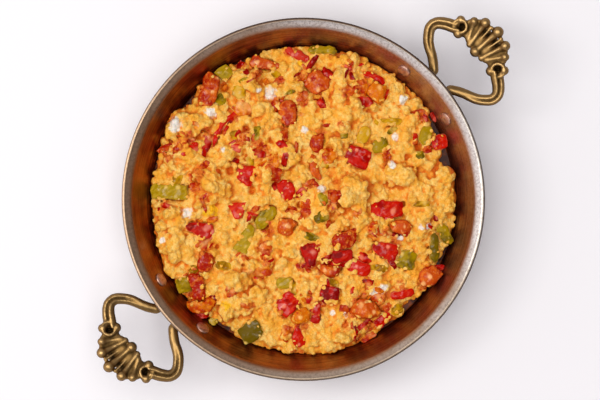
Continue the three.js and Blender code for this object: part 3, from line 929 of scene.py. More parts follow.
def turned(profile: Array, segments: int) -> Shape:
    """A solid of revolution about Z.

    Args:
        profile: Radius and height of each point, from the axis below round to the axis above.
        segments: How many steps go round.

    Returns:
        Its points and faces.
    """
    ring = profile[1:-1]
    angles = np.arange(segments) * 2 * math.pi / segments
    cos, sin = np.cos(angles)[None, :], np.sin(angles)[None, :]
    rings = np.stack(
        [ring[:, :1] * cos, ring[:, :1] * sin, np.repeat(ring[:, 1:], segments, axis=1)], axis=2,
    ).reshape(-1, 3)
    points = np.concatenate([rings, [[0, 0, profile[0, 1]], [0, 0, profile[-1, 1]]]])
    return points, wrapped(len(ring), segments)


def joined(parts: Iterable[tuple[Array, Sequence[Array]]]) -> Shape:
    """Several bodies as one list of points and faces.

    Args:
        parts: Each body's points and faces.

    Returns:
        All the points and all the faces.
    """
    points: list[Array] = []
    faces: list[Array] = []
    count = 0
    for own_points, own_faces in parts:
        points.append(own_points)
        faces.extend(part + count for part in own_faces)
        count += len(own_points)
    return np.concatenate(points), faces


def unit_ball(fineness: int) -> tuple[Array, Array]:
    """An even ball of radius 1.

    Args:
        fineness: How often its triangles are split.

    Returns:
        Its points and triangles.
    """
    shape = bmesh.new()
    bmesh.ops.create_icosphere(shape, subdivisions=fineness, radius=1.0)
    points = np.array([point.co[:] for point in shape.verts])
    faces = np.array([[point.index for point in face.verts] for face in shape.faces])
    shape.free()
    return points, faces


def ball(centre: Sequence[float], radii: Sequence[float]) -> Shape:
    """One smooth oval ball."""
    points, faces = unit_ball(4)
    return points * np.array(radii) + np.array(centre), [faces]


def many_balls(centres: Array, radii: Array, draw: np.random.Generator, fineness: int = 2,
               squash: float = 0.22) -> Shape:
    """Lumpy balls, each turned and squashed its own way.

    Args:
        centres: Their places.
        radii: Their sizes.
        draw: The seeded source of their differences.
        fineness: How fine each ball is.
        squash: How far from round they may be.

    Returns:
        The points and faces of all of them.
    """
    unit, faces = unit_ball(fineness)
    count = len(centres)
    turns = np.linalg.qr(draw.normal(size=(count, 3, 3)))[0]
    turns[:, :, 0] *= np.sign(np.linalg.det(turns))[:, None]
    stretch = 1 + draw.uniform(-squash, squash, (count, 1, 3))
    shapes = (unit[None] * stretch) @ turns * radii[:, None, None]
    points = (shapes + centres[:, None, :]).reshape(-1, 3)
    offsets = np.arange(count)[:, None, None] * len(unit)
    return points, [(faces[None] + offsets).reshape(-1, 3)]


def smooth_line(controls: Sequence[Sequence[float]], steps: int) -> Array:
    """A smooth curve through a few places.

    Args:
        controls: The places.
        steps: How many points the curve gets.

    Returns:
        Evenly spaced points on it.
    """
    knots = [np.array(place, float) for place in controls]
    knots = [2 * knots[0] - knots[1], *knots, 2 * knots[-1] - knots[-2]]
    fine: list[Array] = []
    for before, start, end, after in zip(knots, knots[1:], knots[2:], knots[3:]):
        spans = ((before, start), (start, end), (end, after))
        gaps = [max(np.linalg.norm(b - a), 1e-6) ** 0.5 for a, b in spans]
        slope_in = gaps[1] * ((start - before) / gaps[0] - (end - before) / (gaps[0] + gaps[1])
                              + (end - start) / gaps[1])
        slope_out = gaps[1] * ((end - start) / gaps[1] - (after - start) / (gaps[1] + gaps[2])
                               + (after - end) / gaps[2])
        for t in np.linspace(0, 1, 24, endpoint=False):
            fine.append((2 * t**3 - 3 * t**2 + 1) * start + (t**3 - 2 * t**2 + t) * slope_in
                        + (3 * t**2 - 2 * t**3) * end + (t**3 - t**2) * slope_out)
    fine.append(knots[-2])
    line = np.array(fine)
    run = np.concatenate([[0], np.cumsum(np.linalg.norm(np.diff(line, axis=0), axis=1))])
    wanted = np.linspace(0, run[-1], steps)
    return np.column_stack([np.interp(wanted, run, line[:, axis]) for axis in range(3)])


def swept(line: Array, section: Callable[[float, Array], Array], sides: int) -> Shape:
    """A rod along a line whose section changes as it goes.

    Args:
        line: The points of its middle.
        section: Gives, for a share of the way and an array of angles, rows of offset sideways and up.
        sides: How many points go round.

    Returns:
        Its points and faces.
    """
    heading = np.gradient(line, axis=0)
    heading /= np.linalg.norm(heading, axis=1)[:, None]
    side = np.cross([0, 0, 1], heading)
    side /= np.linalg.norm(side, axis=1)[:, None]
    up = np.cross(heading, side)
    angles = np.arange(sides) * 2 * math.pi / sides
    rings = []
    for number, middle in enumerate(line):
        offsets = section(number / (len(line) - 1), angles)
        rings.append(middle + offsets[:, :1] * side[number] + offsets[:, 1:] * up[number])
    points = np.concatenate([*rings, line[:1], line[-1:]])
    return points, wrapped(len(line), sides)


def dress(piece: Piece, finish: Finish, slot: str, *nodes: str) -> Piece:
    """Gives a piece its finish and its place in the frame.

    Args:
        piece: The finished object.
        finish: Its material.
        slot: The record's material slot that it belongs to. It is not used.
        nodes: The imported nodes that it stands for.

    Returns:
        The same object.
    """
    piece.data.materials.clear()
    piece.data.materials.append(finish)
    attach(piece, BODY)
    if nodes:
        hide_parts(*nodes)
    LOG.info("%s: %d faces", piece.name, len(piece.data.polygons))
    return piece


# ---- the pan


@dataclass
class Pan:
    """The spun pan, a flat floor and a flared wall with a bent-out lip.

    Attributes:
        sheet: The sheet's thickness.
        wall_slope: The wall's angle to the table, in degrees.
        lip_slope: The lip's angle.
        lip_width: How far the lip reaches outward.
        edge_width: The breadth of its rounded edge.
        corner: The inner radius between floor and wall.
        segments: How many steps go round.
    """

    sheet: float = 1.6
    wall_slope: float = 60.0
    lip_slope: float = 38.0
    lip_width: float = 4.0
    edge_width: float = 1.5
    corner: float = 12.0
    segments: int = 256

    @property
    def lip_foot(self) -> Array:
        """Radius and height where the wall turns into the lip."""
        drop = self.lip_width * math.tan(math.radians(self.lip_slope))
        return np.array([RIM_RADIUS - self.edge_width - self.lip_width, PAN_HEIGHT - drop])

    def wall_radius(self, z: float | Array) -> float | Array:
        """Radius of the inner wall at a height."""
        return self.lip_foot[0] - (self.lip_foot[1] - z) / math.tan(math.radians(self.wall_slope))

    def inner_line(self, outward: float) -> Array:
        """The inner face's line from the axis up to the lip.

        Args:
            outward: How far it is moved outward.

        Returns:
            Its radii and heights.
        """
        slope = math.radians(self.wall_slope)
        foot = self.wall_radius(self.sheet) - self.corner * math.tan(slope / 2)
        bend = math.radians((self.wall_slope + self.lip_slope) / 2)
        shift = outward / math.cos(math.radians((self.wall_slope - self.lip_slope) / 2))
        turn = self.lip_foot + shift * np.array([math.sin(bend), -math.cos(bend)])
        wall = np.array([math.cos(slope), math.sin(slope)])
        lip = np.array([math.cos(math.radians(self.lip_slope)), math.sin(math.radians(self.lip_slope))])
        centre = (foot, self.sheet + self.corner)
        corner = arc(centre, self.corner + outward, -90, self.wall_slope - 90, 12)
        rise = np.linspace(corner[-1], turn - 1.0 * wall, 9)[1:]
        softened = np.array([
            turn - 0.45 * wall + 0.04 * lip, turn + 0.45 * lip - 0.04 * wall, turn + 1.0 * lip,
        ])
        return np.concatenate([[[0, self.sheet - outward]], corner, rise, softened])

    def section(self) -> Array:
        """Half of the pan's section: outside, rounded cut edge, inside.

        Returns:
            Its radii and heights.
        """
        edge = arc((RIM_RADIUS - 0.85, PAN_HEIGHT - 0.9), 0.85, -50, 80, 9)
        edge[:, 1] = np.minimum(edge[:, 1], PAN_HEIGHT - 0.03)
        roll = np.array([
            [RIM_RADIUS - 1.25, PAN_HEIGHT - 0.02], [RIM_RADIUS - 1.7, PAN_HEIGHT - 0.14],
            [RIM_RADIUS - 2.4, PAN_HEIGHT - 0.62],
        ])
        return np.concatenate([self.inner_line(self.sheet), edge, roll, self.inner_line(0)[::-1]])

    def build(self) -> Piece:
        """Builds and dresses the pan.

        Returns:
            The pan's object.
        """
        points, faces = turned(self.section(), self.segments)
        wobble = soft_noise(points, 34.0, 3) * np.hypot(points[:, 0], points[:, 1]) / RIM_RADIUS
        points[:, :2] *= (1 - 0.0009 * (1 + wobble))[:, None]
        points[:, 2] *= 1 - 0.0016 * (1 + soft_noise(points, 40.0, 5))
        piece = mesh_object("pan_body", points, faces)
        return dress(piece, TinnedMetal().material(), "tinned_metal", "pan")


@dataclass
class Rivet:
    """A rivet through the wall: a low dome inside, a shank and a button outside.

    Attributes:
        node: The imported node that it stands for.
        side: On which side of the handle it is, 1 or -1.
        end: At which end of the pan, 1 for +X and -1 for -X.
        height: Its height on the wall.
        half_spacing: Half the distance between the two rivets of a handle.
        head_radius: The radius of its dome.
        head_depth: The dome's height.
        shank: The radius of its shank.
        gap: The room between it and the sheet.
        pad: The thickness of the handle's pad.
    """

    node: str
    side: int
    end: int
    height: float = 36.5
    half_spacing: float = 17.7
    head_radius: float = 3.85
    head_depth: float = 1.1
    shank: float = 2.0
    gap: float = 0.3
    pad: float = 3.0

    def frame(self, pan: Pan) -> Matrix:
        """The rivet's own axes: Z runs out through the wall, from a point on the inner face.

        Args:
            pan: The pan that it goes through.

        Returns:
            The axes and their origin.
        """
        radius = pan.wall_radius(self.height)
        heading = math.asin(self.side * self.half_spacing / radius) + (math.pi if self.end < 0 else 0)
        slope = math.radians(pan.wall_slope)
        across = Vector((-math.sin(heading), math.cos(heading), 0))
        level = math.sin(slope)
        out = Vector((math.cos(heading) * level, math.sin(heading) * level, -math.cos(slope)))
        axes = Matrix((across, out.cross(across), out)).transposed().to_4x4()
        axes.translation = (radius * math.cos(heading), radius * math.sin(heading), self.height)
        return axes

    def build(self, pan: Pan, finish: Finish) -> Piece:
        """Builds and dresses the rivet in the pan's wall.

        Args:
            pan: The pan whose wall holds it.
            finish: The rivets' finish.

        Returns:
            The rivet's object.
        """
        inner = -self.gap
        outer = pan.sheet + self.pad + 2 * self.gap
        share = np.linspace(0, 1, 9)
        dome = np.column_stack([
            self.head_radius * np.sin(share * math.pi / 2) ** 0.8,
            inner - 0.25 - (self.head_depth - 0.25) * np.cos(share * math.pi / 2) ** 0.9,
        ])
        button = np.column_stack([
            0.9 * self.head_radius * np.cos(share * math.pi / 2) ** 0.9,
            outer + 1.2 * self.head_depth * np.sin(share * math.pi / 2),
        ])
        rim = np.array([
            [self.head_radius, inner + 0.28], [self.shank, inner + 0.3], [self.shank, outer],
        ])
        points, faces = turned(np.concatenate([dome, rim, button]), 40)
        frame = np.array(self.frame(pan))
        placed = points @ frame[:3, :3].T + frame[:3, 3]
        return dress(mesh_object(f"{self.node}_head", placed, faces), finish, "rivet_metal", self.node)


# ---- the handles


@dataclass(frozen=True)
class Rib:
    """One rib across the grip, with a ball at each end.

    Attributes:
        inner: Where it starts, on the side of the pan.
        outer: Where it ends.
        bar: The bar's radius.
        inner_ball: The radius of its inner ball.
        outer_ball: The radius of its outer ball.
    """

    inner: tuple[float, float]
    outer: tuple[float, float]
    bar: float
    inner_ball: float
    outer_ball: float


@dataclass
class Handle:
    """A cast handle: two grooved arms bowed out to collars, and a grip of fanned ribs between.

    Attributes:
        rise: How steeply it rises outward, in degrees.
        root: Distance from the pan's axis, and height, of the plane that it lies in.
        foot: The arm's middle line under the lip.
        bow: The arm's middle line from the lip to the collar, in plan.
        grip: The grip's middle line, in plan.
        ribs: The grip's ribs, the middle one first.
        arm_widths: Half widths along the arm.
        arm_heights: Half heights along the arm.
        collar: The middle of the ring that ends the grip.
        knobs: Place and radii of the balls beside that ring.
        voxel: The fineness of its skin.
    """

    rise: float = 17.0
    root: tuple[float, float] = (98.0, 37.4)
    foot: tuple[tuple[float, float, float], ...] = (
        (92.6, 18.4, 36.4), (94.9, 13.2, 36.7), (97.6, 8.6, 37.2),
    )
    bow: tuple[tuple[float, float], ...] = (
        (100.9, 6.9), (102.7, 8.9), (105.6, 13.7), (107.9, 18.9), (110.1, 22.2),
        (114.8, 26.1), (118.6, 25.9), (122.0, 22.6), (125.0, 17.7), (126.9, 15.6),
    )
    grip: tuple[tuple[float, float], ...] = ((126.4, 15.2), (129.2, 10.8), (131.4, 5.6), (132.2, 0.0))
    ribs: tuple[Rib, ...] = (
        Rib((124.6, 0.0), (140.2, 0.0), 2.0, 3.1, 3.2),
        Rib((124.9, 5.0), (138.3, 8.3), 1.7, 2.0, 2.9),
        Rib((125.8, 7.3), (134.5, 12.9), 1.5, 1.7, 2.4),
        Rib((125.4, 2.6), (139.2, 4.2), 0.8, 0.9, 1.0),
        Rib((125.3, 6.3), (136.8, 10.9), 0.9, 1.0, 1.1),
        Rib((126.0, 8.9), (132.6, 14.2), 1.1, 1.3, 1.5),
        Rib((126.0, 10.6), (131.0, 15.6), 0.9, 1.0, 1.1),
    )
    arm_widths: tuple[float, ...] = (1.5, 2.5, 2.7, 2.8, 3.0, 3.2, 3.5, 3.8)
    arm_heights: tuple[float, ...] = (1.6, 2.1, 2.2, 2.3, 2.4, 2.6, 2.8, 2.9)
    collar: tuple[float, float] = (126.9, 16.0)
    knobs: tuple[tuple[tuple[float, ...], tuple[float, ...]], ...] = (
        ((124.0, 13.7), (2.8, 2.8, 2.8)), ((129.6, 18.3), (2.5, 2.5, 2.6)),
    )
    voxel: float = 0.46

    def plane(self, x: float) -> float:
        """Height of the plane that the handle lies in."""
        return self.root[1] + (x - self.root[0]) * math.tan(math.radians(self.rise))

    def lifted(self, place: Sequence[float], side: int) -> Array:
        """A place of the plan, put in the handle's plane on one side."""
        height = place[2] if len(place) > 2 else self.plane(place[0])
        return np.array([place[0], side * place[1], height])

    def arm(self, side: int) -> Shape:
        """One arm: an oval rod whose top is grooved from the bow to the collar.

        Args:
            side: On which side of the handle, 1 or -1.

        Returns:
            Its points and faces.
        """
        line = smooth_line([self.lifted(place, side) for place in (*self.foot, *self.bow)], 90)
        shares = np.linspace(0, 1, len(self.arm_widths))

        def section(share: float, angles: Array) -> Array:
            """The arm's outline at a share of its length.

            Args:
                share: The share of the length.
                angles: The directions round the middle.

            Returns:
                The outline's points.
            """
            width = np.interp(share, shares, self.arm_widths)
            height = np.interp(share, shares, self.arm_heights)
            sideways, up = width * np.cos(angles), height * np.sin(angles)
            depth = 0.5 * height * min(max((share - 0.42) / 0.2, 0), 1)
            crease = np.exp(-((sideways + 0.12 * width) / (0.2 * width)) ** 2)
            up = np.where(up > 0, up - depth * crease * np.sin(angles), up)
            facet = 0.25 * min(max(share / 0.2, 0), 1) * (1 - min(max((share - 0.3) / 0.2, 0), 1))
            edge = np.exp(-((sideways - 0.5 * width) / (0.4 * width)) ** 2)
            up = np.where(up > 0, up - facet * edge, up)
            return np.column_stack([sideways, up])

        return swept(line, section, 40)

    def grip_core(self, side: int) -> Shape:
        """The flat body under the ribs on one side.

        Args:
            side: On which side of the handle, 1 or -1.

        Returns:
            Its points and faces.
        """
        line = smooth_line([self.lifted(place, side) - [0, 0, 1.5] for place in self.grip], 30)

        def section(share: float, angles: Array) -> Array:
            """The grip's outline, wider towards its middle."""
            width = np.interp(share, [0, 0.35, 0.7, 1], [3.0, 5.0, 6.3, 6.7])
            return np.column_stack([width * np.cos(angles), 1.9 * np.sin(angles)])

        return swept(line, section, 36)

    def bar(self, rib: Rib, side: int, lift: float = 0.0) -> Shape:
        """A rib with its balls.

        Args:
            rib: The rib.
            side: On which side of the handle, 1 or -1.
            lift: How far it is raised.

        Returns:
            Its points and faces.
        """
        start, end = self.lifted(rib.inner, side), self.lifted(rib.outer, side)
        start[2] += lift
        end[2] += lift
        span = end - start
        length = float(np.linalg.norm(span))
        share = np.linspace(0, 1, 24)
        waist = rib.bar * (1 + 0.18 * np.cos(2 * math.pi * share))
        profile = np.column_stack([waist, share * length])
        profile = np.concatenate([[[0, -0.2]], profile, [[0, length + 0.2]]])
        points, faces = turned(profile, 24)
        axes = np.array(Vector(span).to_track_quat("Z", "X").to_matrix())
        return joined([
            (points @ axes.T + start, faces),
            ball(start, (rib.inner_ball,) * 3),
            ball(end, (rib.outer_ball,) * 3),
        ])

    def collar_ring(self, side: int) -> Shape:
        """The looped ring that ends the grip, lying in the handle's plane.

        Args:
            side: On which side of the handle, 1 or -1.

        Returns:
            Its points and faces.
        """
        centre = self.lifted(self.collar, side)
        centre[2] += 1.5
        turns = np.linspace(0, 2 * math.pi, 49)[:-1]
        slope = math.tan(math.radians(self.rise))
        rounds = np.linspace(0, 2 * math.pi, 13)[:-1]
        points = []
        for turn in turns:
            out = np.array([math.cos(turn), math.sin(turn), slope * math.cos(turn)])
            middle = centre + np.array([3.3, 3.7, 3.3]) * out
            for angle in rounds:
                around = math.cos(angle) * out + math.sin(angle) * np.array([0, 0, 1])
                points.append(middle + 0.95 * around)
        here = np.arange(len(turns))[:, None] * len(rounds)
        following = (np.arange(len(turns)) + 1)[:, None] % len(turns) * len(rounds)
        place, beside = np.arange(len(rounds)), (np.arange(len(rounds)) + 1) % len(rounds)
        quads = np.stack([here + place, following + place, following + beside, here + beside], axis=2)
        return np.array(points), [quads.reshape(-1, 4)]

    def pad(self, rivet: Rivet, pan: Pan) -> Shape:
        """The round pad that the rivet holds against the outside of the wall.

        Args:
            rivet: The rivet.
            pan: The pan.

        Returns:
            Its points and faces.
        """
        low = pan.sheet + 0.3
        profile = np.array([
            [0, low], [5.4, low], [5.6, low + 0.3], [5.5, low + 1.6],
            [5.0, low + 2.6], [4.2, low + 3.0], [0, low + 3.0],
        ])
        points, faces = turned(profile, 36)
        frame = np.array(rivet.frame(pan))
        return points @ frame[:3, :3].T + frame[:3, 3], faces

    def shaped(self, pan: Pan, rivets: Sequence[Rivet]) -> Piece:
        """Builds the handle on the pan's +X side as one cast skin.

        Args:
            pan: The pan that it is fixed to.
            rivets: The two rivets at that end.

        Returns:
            The bare object.
        """
        bodies = [self.bar(self.ribs[0], 1, -0.14)]
        for side in (1, -1):
            bodies += [self.arm(side), self.grip_core(side), self.collar_ring(side)]
            bodies += [self.bar(rib, side, 0.15) for rib in self.ribs[1:]]
            bodies += [ball(self.lifted(place, side), radii) for place, radii in self.knobs]
        bodies += [self.pad(rivet, pan) for rivet in rivets]
        piece = mesh_object("handle_cast", *joined(bodies))
        fused(piece, self.voxel, 3)
        points = points_of(piece.data)
        for side in (1, -1):
            eye = self.lifted(self.collar, side)
            apart = np.hypot(points[:, 0] - eye[0], points[:, 1] - eye[1])
            top = points[:, 2] > eye[2]
            points[:, 2] -= np.where(top, 1.1 * np.exp(-(apart / 1.6) ** 4), 0)
        points += normals_of(piece.data) * (0.07 * soft_noise(points, 2.2, 4))[:, None]
        move_points(piece.data, points)
        set_marks(piece.data, cavity=hollow_share(piece.data, 2.6))
        return piece


def hollow_share(mesh: Mesh, reach: float) -> Array:
    """How hollow a skin is at each point: 0 on its ridges, 0.5 where flat, 1 in its recesses.

    Args:
        mesh: The skin, whose edges are of even length.
        reach: How far around each point is looked at, in millimetres.

    Returns:
        One value for each point.
    """
    edges = np.empty(2 * len(mesh.edges), np.int32)
    mesh.edges.foreach_get("vertices", edges)
    one, other = edges.reshape(-1, 2).T
    points, normals = points_of(mesh), normals_of(mesh)
    step = float(np.median(np.linalg.norm(points[one] - points[other], axis=1)))
    count = np.bincount(one, minlength=len(points)) + np.bincount(other, minlength=len(points))

    def averaged(values: Array) -> Array:
        """Each point's value mixed with its neighbours'."""
        total = sum(np.bincount(a, values[b], len(points)) for a, b in ((one, other), (other, one)))
        return 0.5 * values + 0.5 * total / np.maximum(count, 1)

    smooth = points.copy()
    for _ in range(max(2, int((reach / step) ** 2 / 4))):
        smooth = np.column_stack([averaged(smooth[:, axis]) for axis in range(3)])
    depth = np.sum((smooth - points) * normals, axis=1)
    depth = averaged(averaged(depth))
    return np.clip(0.5 + depth / 0.9, 0, 1)


# ---- the pieces on the eggs


class Flesh(Enum):
    """What a piece or scrap is cut from, with the record's slot for it."""

    RED = "red_pepper"
    CRIMSON = "dark_red_pepper"
    GREEN = "green_pepper"
    OLIVE = "yellow_green_pepper"
    TOMATO = "tomato"
    ORANGE = "tomato_flesh"


RED, CRIMSON, GREEN, OLIVE, TOMATO, ORANGE = Flesh


def flesh_finishes() -> dict[Flesh, Finish]:
    """The finish of each kind of piece.

    Returns:
        The materials, by kind.
    """
    kinds = (
        (RED, PepperFlesh, "red_pepper_flesh",
         (200, 21, 0), (238, 92, 44), (162, 4, 0), (242, 138, 104)),
        (CRIMSON, PepperFlesh, "dark_red_pepper_flesh",
         (182, 14, 0), (224, 78, 46), (128, 2, 0), (230, 128, 104)),
        (GREEN, PepperFlesh, "green_pepper_flesh",
         (166, 132, 2), (214, 176, 54), (106, 84, 1), (236, 196, 100)),
        (OLIVE, PepperFlesh, "olive_pepper_flesh",
         (200, 146, 6), (232, 180, 50), (150, 100, 2), (238, 192, 96)),
        (TOMATO, TomatoFlesh, "tomato_pulp",
         (200, 76, 10), (168, 24, 2), (234, 126, 34), (252, 186, 112)),
        (ORANGE, TomatoFlesh, "orange_tomato_pulp",
         (216, 108, 6), (188, 52, 4), (238, 146, 22), (252, 194, 104)),
    )
    return {flesh: kind(name, *(paint(*tone) for tone in tones)).material()
            for flesh, kind, name, *tones in kinds}


@dataclass(frozen=True)
class Spot:
    """A place of the photo where the food has something of its own.

    Attributes:
        px: Pixels from the photo's left edge.
        py: Pixels from its top edge.
        size: Its radius in millimetres.
    """

    px: float
    py: float
    size: float


def spots(*rows: tuple[float, float, float]) -> tuple[Spot, ...]:
    """The spots of a table, from their pixels and sizes."""
    return tuple(Spot(*row) for row in rows)


TONES = {
    "pepper_green_01": 0.2, "pepper_green_05": 0.4, "pepper_green_07": 0.5, "pepper_green_08": -0.1,
    "pepper_green_09": -0.6, "pepper_green_10": -0.1, "pepper_green_11": 0.3, "pepper_green_13": -1.2,
    "pepper_green_15": 0.8, "pepper_green_14": 0.2, "pepper_green_12": -0.2, "pepper_red_02": 1.0,
    "pepper_red_05": 0.3, "pepper_red_07": 0.5, "pepper_red_10": -0.2, "pepper_red_17": -0.35,
    "pepper_red_09": 0.6, "tomato_04": -0.4, "tomato_05": 0.8, "tomato_06": 1.2, "tomato_07": -0.9,
    "tomato_10": 1.0, "tomato_11": -0.9, "tomato_12": -1.1, "tomato_14": 1.4, "tomato_15": 0.3,
    "tomato_13": -0.2,
}
# Spots where the toppings get a painted sheen: a paler colour standing in for highlights.
SHEEN = spots(
    (393, 211, 2), (207, 228, 2.4), (213, 232, 1.6), (282, 197, 1.4), (254, 178, 1.3), (357, 150, 1.2),
    (369, 156, 1), (313, 252, 2), (388, 247, 1.3), (356, 266, 1.2), (257, 62, 1.8), (269, 66, 1.6),
    (236, 108, 2), (284, 306, 1.6), (213, 92, 1.3), (360, 305, 1.8), (374, 312, 1.4), (379, 88, 1.8),
    (300, 317, 1.6), (429, 276, 2.2), (423, 283, 1.6), (325, 270, 1.2), (335, 268, 1.2), (318, 306, 1.2),
    (166, 187, 1.6), (178, 188, 1.6), (240, 341, 2), (245, 344, 1.6), (251, 238, 1.6), (246, 246, 1.4),
    (401, 254, 1.6), (287, 226, 2.2), (218, 78, 1.3), (445, 230, 1), (449, 238, 1), (430, 137, 1.4),
    (318, 90, 1.6), (309, 80, 1.2), (293, 55, 1.4), (301, 300, 1.2), (404, 226, 1.2), (243, 180, 1),
    (386, 324, 1.2), (299, 345, 1), (288, 185, 0.9),
)
# Spots where the toppings are painted darker: partly darker skin, partly painted shade.
SHADE = spots(
    (190, 226, 2.4), (297, 309, 3), (313, 263, 2), (305, 248, 1.6), (366, 160, 2.2), (352, 154, 1.6),
    (380, 204, 2.6), (401, 204, 2), (375, 247, 2), (392, 261, 2.2), (340, 255, 2.2), (343, 245, 2.6),
    (341, 236, 1.8), (200, 292, 3), (196, 281, 2), (201, 313, 2.4), (439, 270, 2.2), (406, 235, 2),
    (436, 139, 1.6), (446, 150, 1.8), (262, 212, 2), (251, 333, 3.6), (210, 103, 2.4), (204, 98, 2.2),
    (289, 122, 2.2), (293, 106, 2), (313, 80, 2), (384, 98, 1.8), (317, 148, 2), (287, 300, 1.6),
    (326, 290, 2.2), (208, 268, 1.8), (270, 70, 1.6), (410, 265, 1.6), (376, 322, 1.6),
)


def nearness(points: Array, places: Sequence[Spot], power: float = 2.0) -> Array:
    """How near each point is to any of some spots: 1 in the middle of one, 0 well away from all.

    Args:
        points: The points in millimetres.
        places: The spots of the photo.
        power: How sharp their edges are.

    Returns:
        One value for each point.
    """
    near = np.zeros(len(points))
    for spot in places:
        apart = np.hypot(*(points[:, :2] - photo_place(spot.px, spot.py, FOOD_HEIGHT)).T)
        near = np.maximum(near, np.exp(-(apart / spot.size) ** power))
    return near


@dataclass
class Topping:
    """One large piece of pepper or tomato, given its wet, uneven skin.

    Attributes:
        node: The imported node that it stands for.
        flesh: What it is cut from.
        tone: How much lighter it is than others of its kind, or darker if below 0.
        voxel: The fineness of its skin.
    """

    node: str
    flesh: Flesh
    tone: float = 0.0
    voxel: float = 0.48

    def build(self, packed: Piece, finish: Finish) -> Piece:
        """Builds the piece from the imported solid's own form and dresses it.

        Args:
            packed: The node's object.
            finish: The piece's finish.

        Returns:
            The piece's object.
        """
        piece = mesh_object(f"{self.node}_piece", points_of(packed.data), [triangles_of(packed.data)])
        fused(piece, self.voxel, 1)
        seed = sum(map(ord, self.node))
        points, normals = points_of(piece.data), normals_of(piece.data)
        pulpy = self.flesh in (TOMATO, ORANGE)
        wave, wrinkle, grain = (0.4, 0.25, 0.08) if pulpy else (0.3, 0.14, 0.03)
        swell = 0.1 + wave * soft_noise(points, 5.0, seed) + wrinkle * soft_noise(points, 2.3, seed + 1)
        swell += grain * soft_noise(points, 1.0, seed + 2)
        points += normals * swell[:, None]
        for size, reach in ((6.0, 0.8), (2.5, 0.5)):
            shift = [soft_noise(points, size, seed + 3 + axis) for axis in (0, 1)]
            points[:, :2] += reach * np.column_stack(shift)
        move_points(piece.data, points)
        level = np.clip((normals_of(piece.data)[:, 2] - 0.3) / 0.45, 0, 1)
        jitter = 0.35 * soft_noise(points, 1.8, seed + 7)
        # The sheen and shade marks carry the painted highlights and painted shade of those spots.
        set_marks(
            piece.data, cut=1 - level, tone=np.full(len(points), self.tone),
            sheen=np.clip(2.2 * (nearness(points, SHEEN) + jitter) - 0.9, 0, 1),
            shade=np.clip(1.6 * (nearness(points, SHADE) + jitter) - 0.5, 0, 1),
        )
        return dress(piece, finish, self.flesh.value, self.node)


@dataclass(frozen=True)
class Scrap:
    """A small scrap of pepper or tomato that lies on the eggs.

    Attributes:
        px: Its middle in the photo, in pixels from the left.
        py: And in pixels from the top.
        length: Its length in millimetres.
        width: Its width.
        turn: Its heading in the picture, in degrees from the right, anticlockwise.
        flesh: What it is cut from.
    """

    px: float
    py: float
    length: float
    width: float
    turn: float
    flesh: Flesh


